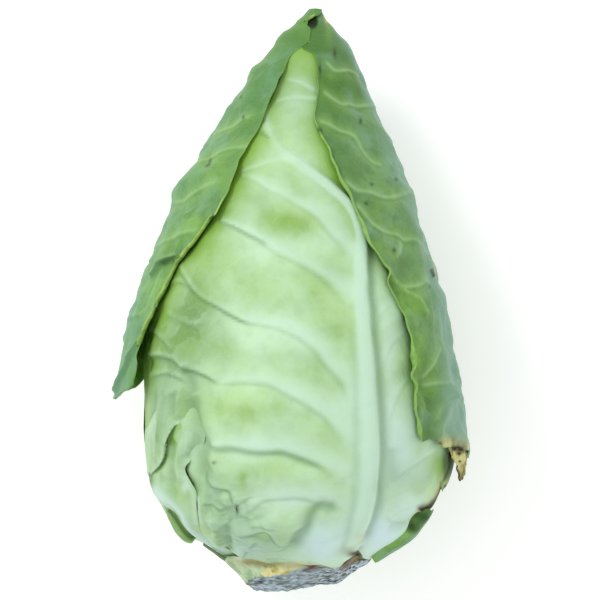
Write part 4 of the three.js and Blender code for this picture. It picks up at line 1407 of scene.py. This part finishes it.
def right_wrapper():
    """The right outer leaf: its margin is rolled outwards into a strip along its middle, brightened
    by painted highlight, and its lower edge is torn and dried."""
    sheet = Sheet(RIGHT_MARGIN, RIGHT_HIDDEN, 200, 336, right_level, lambda t: t**1.4,
                  bottom=RIGHT_BOTTOM, wavy=0.7 * MM)
    rib(sheet, degrees((128, 0.05), (120, 0.3), (114, 0.55), (108, 0.75), (96, 0.93)),
        9 * MM, 2.2 * MM)
    side_branches(sheet, degrees((128, 0.2), (120, 0.4), (114, 0.55), (108, 0.75)),
                  (0.3, 0.42), 30, 0.1, 3.0 * MM, 0.6 * MM)
    for points in (
        [(11.8, 215.7), (14.9, 212.8), (20.4, 213.3), (25.1, 210.9)],
        [(11, 204.4), (12.6, 203.1), (14.9, 201.5), (18, 199.4), (21.2, 200), (27.5, 199.2),
         (32.2, 198.4)],
        [(10, 192.8), (11.8, 192.1), (16.5, 189.7), (22, 188.2), (25.1, 185), (27.5, 181.1),
         (31.4, 177.2), (36.1, 174.9)],
        [(19.6, 167), (24.4, 163.9), (30.6, 163.1), (36.1, 161.5), (42.4, 162.4), (46.3, 164.7)],
        [(24.4, 157.6), (27.5, 154.4), (32.2, 149), (37.7, 146.9), (41.2, 145.9), (43.3, 143.8),
         (46.6, 143.8), (49.5, 141.7), (53, 139.4)],
        [(42.2, 142.2), (41.8, 139), (40, 136)],
        [(42, 124.2), (47.4, 125), (50.3, 125.8), (53.7, 127.1)],
        [(52, 88), (56, 94), (58.6, 100)],
        [(52.4, 84.6), (58, 85), (63, 85.4)],
    ):
        sheet.vein_and_highlight(places(points, right_level), 1.1 * MM, 0.4 * MM, 0.6, 0.55)
    sheet.quilt(0.9 * MM, 9 * MM)
    sheet.lumps(26 * MM, 1.2 * MM, 41)
    sheet.lumps(13 * MM, 1.4 * MM, 42)
    sheet.lumps(6 * MM, 0.8 * MM, 43)
    sheet.relief *= 1 - 0.85 * smooth(0.8, 0.92, sheet.share)
    sheet.mark("blotch_and_shade", 0.45 * bell(sheet.from_vein, 4 * MM))
    ridge = places([(36.4, 130.4), (39.1, 127.1), (42, 124.1), (45.3, 121.2), (48.3, 118.3),
                    (50.3, 114.5), (52, 112)], right_level)
    distance, t, _ = sheet.near(ridge, 12 * MM)
    sheet.relief += 1.8 * MM * bell(distance, 2.0 * MM) * smooth(1, 0.9, t)
    # painted highlight and curl colour along the ridge's crest
    sheet.mark("rim", 0.9 * bell(distance, 0.9 * MM) * smooth(1, 0.9, t))
    for points, step, reach, dark in (
        ([(45.6, 99), (47, 93), (50, 84), (53, 77), (54.6, 72)], -1.8, 5, 0.5),
        ([(63.6, 80), (60, 77.5), (55.6, 70.5), (54.6, 67)], 1.7, 6, 0.6),
        ([(53.4, 127), (55, 114), (55.8, 104)], -0.8, 4, 0.4),
        ([(47.4, 98), (46.6, 90), (47.6, 82), (49.8, 72)], 0.6, 2, 0.3),
    ):
        sheet.fold(places(points, right_level), step * MM, reach * MM, dark)
    sheet.valley(places([(56, 60.5), (58, 68), (61.5, 76), (64, 86)], right_level), -1.6 * MM,
                 3.4 * MM, 0)
    sheet.valley(places([(51.8, 63.6), (52.4, 72), (54.8, 80)], right_level), 1.2 * MM,
                 2.4 * MM, 0.3)
    right_wrapper_marks(sheet)
    hood_hollow(sheet)
    sheet.mark("deep", 0.4 * smooth(0.72, 0.86, sheet.share))
    sheet.bump(90, 0.915, 30, 0.03, 2.0)
    sheet.bump(90, 0.53, 30, 0.018, 2.2)
    sheet.bump(88, 0.655, 26, 0.02, 2.0)
    sheet.bump(88, 0.755, 26, 0.02, 1.0)
    flank = smooth(60, 80, np.degrees(sheet.theta))
    sheet.relief += 0.45 * MM * flank * noise(sheet.bare, 3.5 * MM, 44)
    sheet.bump(88, 0.47, 26, 0.02, 0.8)
    sheet.roll(-1, [(0.2296, 0.4, 10, 0.1, 0.3), (0.236, 0.6, 80, 0.4, 0.8), (0.246, 0.8, 140, 0.8, 1.0),
                    (0.268, 0.6, 110, 0.4, 0.8), (0.285, 0.8, 120, 0.7, 0.9), (0.303, 0.5, 100, 0.4, 0.8),
                    (0.33, 0.7, 120, 0.7, 0.9), (0.345, 0.5, 100, 0.4, 0.8), (0.362, 0.9, 140, 0.9, 1.0),
                    (0.385, 0.6, 90, 0.4, 0.7), (0.44, 0.5, 80, 0.3, 0.7), (0.48, 0.7, 100, 0.5, 0.9),
                    (0.53, 0.5, 80, 0.4, 0.8), (0.56, 0.8, 125, 0.6, 0.9), (0.6, 0.5, 100, 0.4, 0.7),
                    (0.65, 0.8, 125, 0.6, 0.8), (0.7, 0.6, 110, 0.4, 0.55), (0.75, 0.6, 100, 0.4, 0.5),
                    (0.79, 0.5, 40, 0.3, 0.1), (1, 0.4, 8, 0.2, 0.0)])
    grid, marks = sheet.closed()
    return two_faced("right_wrapper", grid, marks, RIGHT_LEAF)


# ------------------------------------------------------------------ what hangs below the wrappers
def sheath(name, side, top):
    """The base of a wrapper, torn off the rest: it clasps the side of the head closely, from the
    stump up to under the wrapper's free lower edge. side is -1 left and +1 right."""
    forward = 0 if side < 0 else 5
    near_margin = degrees((126, 0.09), (114 + forward, 0.13), (105 + forward, 0.17),
                          (98 + forward, 0.2), (95.5 + forward, 0.26), (94, top))
    far_margin = degrees((168, 0.06), (168, 0.2), (160, top))
    near_margin[:, 0] *= side
    far_margin[:, 0] *= side
    margins = (far_margin, near_margin) if side < 0 else (near_margin, far_margin)
    sheet = Sheet(*margins, 90, 110, lambda theta, share: 1.5 * MM + 0 * theta)
    rib(sheet, degrees((side * 132, 0.045), (side * 128, 0.2), (side * 124, 0.4)), 9 * MM, 1.6 * MM)
    side_branches(sheet, degrees((side * 132, 0.045), (side * 128, 0.2), (side * 124, 0.4)),
                  (0.1, 0.18, 0.26), 30, 0.1, 3.0 * MM, 0.6 * MM)
    sheet.quilt(0.6 * MM, 8 * MM)
    sheet.lumps(18 * MM, 0.5 * MM, 81)
    edge = sheet.from_right if side < 0 else sheet.from_left
    # painted shade along the margin nearer the front
    sheet.mark("shade", 0.85 * np.exp(-edge / (3 * MM)))
    grid, marks = sheet.closed()
    return two_faced(name, grid, marks, OUTER_LEAF)


def right_strip():
    """A strip of the right wrapper's base that stands out from behind the front leaf's edge."""
    left = places([(57.4, 41.6), (57.6, 46), (58.6, 52), (59.4, 58), (60, 63)])
    right = places([(59, 41.2), (60.6, 42.8), (62.4, 47.2), (64, 51.2), (65.4, 55), (66, 63)],
                   strip_level)
    sheet = Sheet(left, right, 40, 60, strip_level)
    sheet.lumps(5 * MM, 0.4 * MM, 91)
    sheet.mark("blotch_and_shade", 0.8)
    sheet.mark("dry", 0.35 * smooth(-0.3, 0.5, noise(sheet.bare, 3 * MM, 92)))
    # painted sheen along the strip's outer edge
    sheet.mark("bloom_and_sheen", 0.5 * bell(sheet.from_right, 2 * MM))
    # painted shade where the front leaf's edge overhangs the strip; the dark spots are the shade in its
    # holes
    sheet.stroke("shade", [(59.4, 44), (60.8, 48), (62.2, 52), (62.8, 56), (62.6, 60)], 0.9, 0.95)
    sheet.spot("dark", 62.4, 56, 1.0, 2.0, 1.0)
    sheet.spot("dark", 60.4, 43, 0.6, 0.7, 1.0)
    grid, marks = sheet.closed()
    return two_faced("right_strip", grid, marks, RIGHT_LEAF)


def dried_tear():
    """The dried end of the right wrapper: a crinkled straw-coloured tatter with blackened edges."""
    left = places([(66.2, 45.2), (65.6, 48), (65.4, 51), (64, 53.8), (62.6, 55.6), (61.6, 59.4)],
                  tear_level)
    right = places([(67.4, 45.4), (69.4, 48.4), (70.3, 50), (71, 52), (71.4, 56), (71.4, 60)],
                   tear_level)
    sheet = Sheet(left, right, 50, 70, tear_level)
    sheet.lumps(3 * MM, 0.8 * MM, 95)
    sheet.lumps(1.4 * MM, 0.35 * MM, 96)
    edge = np.minimum(sheet.from_left, sheet.from_right)
    patchy = smooth(0.0, 0.35, noise(sheet.bare, 2.4 * MM, 97))
    sheet.mark("dry", 0.95)
    for x, y, half_x, half_y in ((64.6, 58, 1.9, 0.8), (70.6, 53.6, 0.9, 2.2), (69.6, 57, 1.6, 0.5),
                                 (66.6, 53, 0.7, 0.5), (66.4, 56.2, 0.6, 0.5), (67.2, 46.2, 0.5, 0.6)):
        sheet.spot("dark", x, y, half_x, half_y, 1.0)
    sheet.mark("dark", 0.9 * patchy * bell(edge, 1.6 * MM))
    sheet.mark("dark", 0.95 * bell(sheet.share - 0.229, 0.004) * (0.4 + 0.6 * patchy))
    grid, marks = sheet.closed()
    return two_faced("dried_tear", grid, marks, RIGHT_LEAF)


def left_scrap():
    """What is left of a torn leaf at the lower left: a small curved blade, hooked at its top, whose
    hollow side, in painted shade, shows along the head."""
    right = places([(-42, 20.6), (-43.4, 23.8), (-44.9, 26.9), (-46.6, 30.6), (-48.2, 33),
                    (-50.5, 34.6)], scrap_level)
    left = places([(-43.7, 19.6), (-46.5, 20.4), (-48.5, 22.1), (-50.5, 24.8), (-52.6, 28.5),
                   (-53.9, 32), (-55.4, 34.9)], scrap_level)
    sheet = Sheet(left, right, 44, 60, scrap_level)
    sheet.lumps(6 * MM, 0.5 * MM, 71)
    sheet.relief -= 2.2 * MM * bell(sheet.from_right, 2.6 * MM)
    hollow = [(-53.6, 34), (-51.4, 32.4), (-49.6, 29.4), (-47.4, 25.6), (-44.6, 22), (-42.6, 20.6)]
    sheet.stroke("blotch_and_shade", hollow, 2.6, 0.9)
    sheet.stroke("shade", hollow, 0.9, 0.8)
    sheet.mark("rim", 0.45 * smooth(-0.3, 0.5, noise(sheet.bare, 5 * MM, 74)))
    sheet.mark("vein_and_highlight", 0.7 * bell(sheet.from_left, 1.2 * MM))
    sheet.fold(places([(-54, 33.4), (-52, 32.4), (-50.6, 31.4), (-50, 32.8)], scrap_level),
               0.8 * MM, 2 * MM, 1.0)
    grid, marks = sheet.closed()
    return two_faced("left_scrap", grid, marks, OUTER_LEAF)


def right_scrap():
    """What is left of a torn leaf at the lower right: a long narrow blade along the head, hollow
    towards it, with a step in its upper half."""
    left = places([(30, 13.8), (31, 15.7), (32.6, 17.8), (34.9, 18.9), (37.8, 19.4), (39.6, 20.7),
                   (42, 23.5), (44.3, 25.9), (45.9, 28.5), (47.5, 30.6), (49.6, 31.9), (52.4, 33.4)],
                  scrap_level)
    right = places([(31.8, 12), (33.6, 12.6), (37, 14.3), (40.1, 16.1), (44.3, 19), (47.5, 21.3),
                    (49.6, 23.4), (51.6, 26.3), (53.6, 28.7), (55, 31.4), (55.6, 33.4)],
                   scrap_level)
    sheet = Sheet(left, right, 44, 110, scrap_level)
    sheet.lumps(7 * MM, 0.5 * MM, 72)
    across = sheet.from_left / (sheet.from_left + sheet.from_right)
    hollow = smooth(24.5 * MM, 27.5 * MM, sheet.seen[..., 1]) * smooth(0.62, 0.5, across)
    sheet.relief += 1.2 * MM * np.sin(np.pi * across) - 1.6 * MM * hollow
    # painted shade in the hollow
    sheet.mark("deep", 0.9 * hollow)
    sheet.spot("shade", 46.5, 26.4, 2.6, 2.2, 1.0)
    sheet.spot("shade", 50.5, 30.6, 3.6, 2.2, 0.9)
    sheet.mark("blotch_and_shade", 0.8 * bell(sheet.from_left - 2 * MM, 1.6 * MM))
    sheet.mark("rim", 0.7 * bell(sheet.from_left, 0.9 * MM))
    sheet.mark("bloom_and_sheen", 0.8 * smooth(0.4, 0.9, across))
    grid, marks = sheet.closed()
    return two_faced("right_scrap", grid, marks, OUTER_LEAF)


def foot_sliver():
    """The narrow stump of one more torn leaf, beside the left scrap."""
    left = places([(-30, 12.2), (-31.4, 13), (-34.2, 15.4), (-39, 18.6)], sliver_level)
    right = places([(-29.6, 13.6), (-31.4, 14.4), (-34.2, 16.2), (-38.8, 19.2)], sliver_level)
    sheet = Sheet(left, right, 16, 40, sliver_level)
    # painted shade: deep green on its outer part, and dark over all of it
    sheet.mark("deep", 0.6 * smooth(-35.5 * MM, -32.5 * MM, sheet.seen[..., 0]))
    sheet.mark("shade", 0.5)
    grid, marks = sheet.closed()
    return two_faced("foot_sliver", grid, marks, OUTER_LEAF)


# ------------------------------------------------------------------ underside, heart and stump
def back_leaf():
    """The outermost leaf, which the cabbage lies on."""
    left = degrees((150, 0.04), (132, 0.12), (122, 0.22), (118, 0.35), (118, 0.5), (124, 0.65),
                   (140, 0.78), (165, 0.86))
    right = degrees((212, 0.04), (228, 0.12), (238, 0.2), (242, 0.3), (242, 0.5), (236, 0.65),
                    (222, 0.78), (195, 0.86))
    sheet = Sheet(left, right, 150, 150, lambda theta, share: UNDERSIDE + 0 * theta)
    middle = degrees((182, 0.04), (180, 0.3), (178, 0.6), (180, 0.84))
    rib(sheet, middle, 11 * MM, 1.2 * MM)
    side_branches(sheet, middle, (0.1, 0.2, 0.3, 0.42, 0.54), 60, 0.16, 3.4 * MM, 0.8 * MM)
    sheet.lumps(22 * MM, 0.5 * MM, 51)
    grid, marks = sheet.closed()
    return two_faced("underside_leaf", grid, marks, OUTER_LEAF)


def heart():
    """The closed heart under the leaves, a few millimetres under the skin."""
    share = np.linspace(0.03, 0.95, 110)
    theta = np.linspace(0, 2 * np.pi, 120, endpoint=False)
    theta, share = np.meshgrid(theta, share)
    rings = over_skin(theta, share, -3 * MM * smooth(1.0, 0.9, share))
    return capped_tube("tight_heart", rings, {}, PALE_LEAF)


def stump_rings(theta, s):
    """Rings of the stump: in the first half of s its side, from under the leaves to the cut, and in
    the second half the cut, to its middle. The half width in mm is 21.5 and a flare towards the
    leaves, times small lobes; the cut is a slanting plane that climbs at the lower right."""
    side = np.clip(s / 0.5, 0, 1)
    inwards = np.clip((s - 0.5) / 0.5, 0, 0.985)
    lobes = 1 + 0.03 * np.cos(5 * theta) + 0.02 * np.cos(9 * theta + 1)
    flare = np.where(np.sin(theta) > 0, 0.85, 1.0) * (0.4 + 0.6 * abs(np.sin(theta)))
    body = (21.5 + flare * curve([0, 0.35, 0.7, 1], [9, 5.5, 2.2, 0], side)) * lobes
    right_swelling = curve([0, 0.35, 0.7, 1], [1, 5.4, 6.0, 2.4], side)
    body = body + smooth(0.3, 0.95, np.sin(theta)) * right_swelling
    radius = body * (1 - inwards) * MM
    x, z = radius * np.sin(theta), radius * np.cos(theta) * DEPTH
    climb = 2.8 * MM * smooth(-9 * MM, 12 * MM, x)
    climb += smooth(13 * MM, 25 * MM, x) * (5 * MM + 3 * MM * smooth(-10 * MM, 12 * MM, z))
    cut = 4.0 * MM + 0.22 * np.maximum(z, -8 * MM) + climb
    top = (15 + 4.5 * smooth(12 * MM, 21 * MM, x)) * MM
    y = top + (np.minimum(cut, top - 1.5 * MM) - top) * side
    rings = np.stack([x + 1.0 * MM * side + 0 * y, y * np.cos(TILT) + z * np.sin(TILT),
                      z * np.cos(TILT) - y * np.sin(TILT)], -1)
    return rings + AXIS_START - (0, 3.7 * MM, 0)


def stump():
    """The cut stump: a lobed cylinder round the axis that widens under the leaves, closed by a
    rough oblique cut. At the lower right the cut climbs towards the leaves, and the stub of a
    trimmed leaf stands on its upper side."""
    theta = np.linspace(0, 2 * np.pi, 260, endpoint=False)
    s = np.linspace(0, 1, 110)[:, None]
    rings = stump_rings(theta, s)
    on_cut = smooth(0.47, 0.51, s) + 0 * theta
    rough = 0.9 * noise(rings, 4 * MM, 61) + 0.6 * noise(rings * (0.4, 1, 1.3), 1.3 * MM, 62)
    seen = as_seen(rings) / MM
    on_top = (rings[..., 2] > AXIS_START[2]) * 1.0

    def spot(cx, cy, rx, ry):
        """A soft ellipse on the upper side, about a point seen from above, in mm."""
        far = np.hypot((seen[..., 0] - cx) / rx, (seen[..., 1] - cy) / ry)
        return bell(far, 1) * on_top

    worn = 0.25 * noise(rings, 2.5 * MM, 65)
    stub = smooth(1.3, 0.75, np.hypot((seen[..., 0] + 8.6) / 5.8, (seen[..., 1] - 8) / 2.6) + worn)
    ridge = spot(0, 9.6, 8, 1.6) + spot(-15.5, 8, 2.4, 2.4)
    on_side = on_top * (1 - on_cut)
    fibrous = smooth(9, 14, seen[..., 0]) * smooth(16.5, 14, seen[..., 1])
    rings[..., 2] += (1.8 * stub + 1.4 * ridge) * on_side * MM
    rings[..., 1] -= rough * MM * (0.3 + 0.7 * on_cut) + 0.8 * MM * stub * on_side
    rings[..., 2] += fibrous * on_side * 1.6 * noise(rings * (0.5, 2.0, 1), 3 * MM, 64) * MM
    edge = bell(s - 0.5, 0.02) + 0 * theta
    patchy = smooth(0.0, 0.4, noise(rings, 2.4 * MM, 63))
    marks = {
        "flank": (1 - on_cut) * (0.9 - 0.9 * fibrous),
        "beige": np.clip(spot(1, 10.4, 8, 3) + spot(-13, 12.2, 11, 2), 0, 1) * (1 - on_cut),
        "scar": stub * on_side,
        "olive": np.clip(spot(24.6, 12.4, 2.8, 3) + 0.8 * spot(-18, 11.6, 6, 1.4), 0, 1),
        "brown": np.clip(spot(12, 3.4, 9, 1.8) + 0.5 * edge * patchy + spot(21, 13, 6, 5), 0, 1),
        "rust": np.clip(spot(6, 9.6, 2.4, 1.6) + spot(4, 11.4, 2, 1), 0, 1),
        "dark": np.clip(spot(22.4, 16.2, 3.2, 1.4) + 0.7 * spot(17, 11.6, 4, 0.8)
                        + spot(-15.6, 4, 1.6, 0.9) + 0.6 * edge * patchy, 0, 1),
        "streaks": np.clip(smooth(3, 12, seen[..., 0]) + 0.6 * smooth(-9, -14, seen[..., 0]), 0.2, 1),
    }
    marks = {name: (values + 0 * theta)[::-1] for name, values in marks.items()}
    return capped_tube("cut_stump", rings[::-1], marks, STUMP_WOOD)


for piece, node, slot in (
    (front_leaf(), "front_leaf", "pale_leaf"),
    (inner_left_leaf(), "inner_left_leaf", "pale_leaf"),
    (left_wrapper(), "left_wrapper_leaf", "outer_leaf"),
    (sheath("left_sheath", -1, 0.42), "left_wrapper_leaf", "outer_leaf"),
    (right_wrapper(), "right_wrapper_leaf", "outer_leaf"),
    (sheath("right_sheath", 1, 0.33), "right_wrapper_leaf", "outer_leaf"),
    (right_strip(), "right_wrapper_leaf", "outer_leaf"),
    (dried_tear(), "right_wrapper_leaf", "outer_leaf"),
    (back_leaf(), "back_leaf", "outer_leaf"),
    (left_scrap(), "lower_left_leaf", "outer_leaf"),
    (foot_sliver(), "lower_left_leaf", "outer_leaf"),
    (right_scrap(), "lower_right_leaf", "outer_leaf"),
    (heart(), "heart", "heart_leaf"),
    (stump(), "stump", "stump"),
):
    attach(piece, "root")
    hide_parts(node)

# ------------------------------------------------------------------ floor, light and camera
floor_mesh = bpy.data.meshes.new("table_top")
floor_mesh.from_pydata([(-3, -3, 0), (3, -3, 0), (3, 3, 0), (-3, 3, 0)], [], [(0, 1, 2, 3)])
floor = bpy.data.objects.new("table_top", floor_mesh)
bpy.context.collection.objects.link(floor)
floor_mesh.materials.append(table_finish())


def lamp(name, place, size, power):
    """A round soft lamp aimed at the middle of the cabbage."""
    data = bpy.data.lights.new(name, "AREA")
    data.shape = "DISK"
    data.size = size
    data.energy = power
    lamp_object = bpy.data.objects.new(name, data)
    lamp_object.location = place
    aim = Vector((0, 0, 0.05)) - Vector(place)
    lamp_object.rotation_euler = aim.to_track_quat("-Z", "Y").to_euler()
    bpy.context.collection.objects.link(lamp_object)


lamp("key", (-0.75, 0.75, 0.95), 0.5, 7)
lamp("fill", (0.8, -0.2, 0.8), 0.8, 0.8)
world = bpy.data.worlds.new("white_room")
world.use_nodes = True
world.node_tree.nodes["Background"].inputs["Color"].default_value = (1, 1, 1, 1)
world.node_tree.nodes["Background"].inputs["Strength"].default_value = 0.9
bpy.context.scene.world = world
bpy.context.scene.view_settings.view_transform = "Standard"

VIEW_WIDTH = 246 * MM
camera = bpy.data.cameras.new("camera")
camera.lens = camera.sensor_width * (EYE_HEIGHT - SEEN_PLANE) / VIEW_WIDTH
camera.clip_end = 20
camera_object = bpy.data.objects.new("camera", camera)
camera_object.location = EYE
bpy.context.collection.objects.link(camera_object)
bpy.context.scene.camera = camera_object
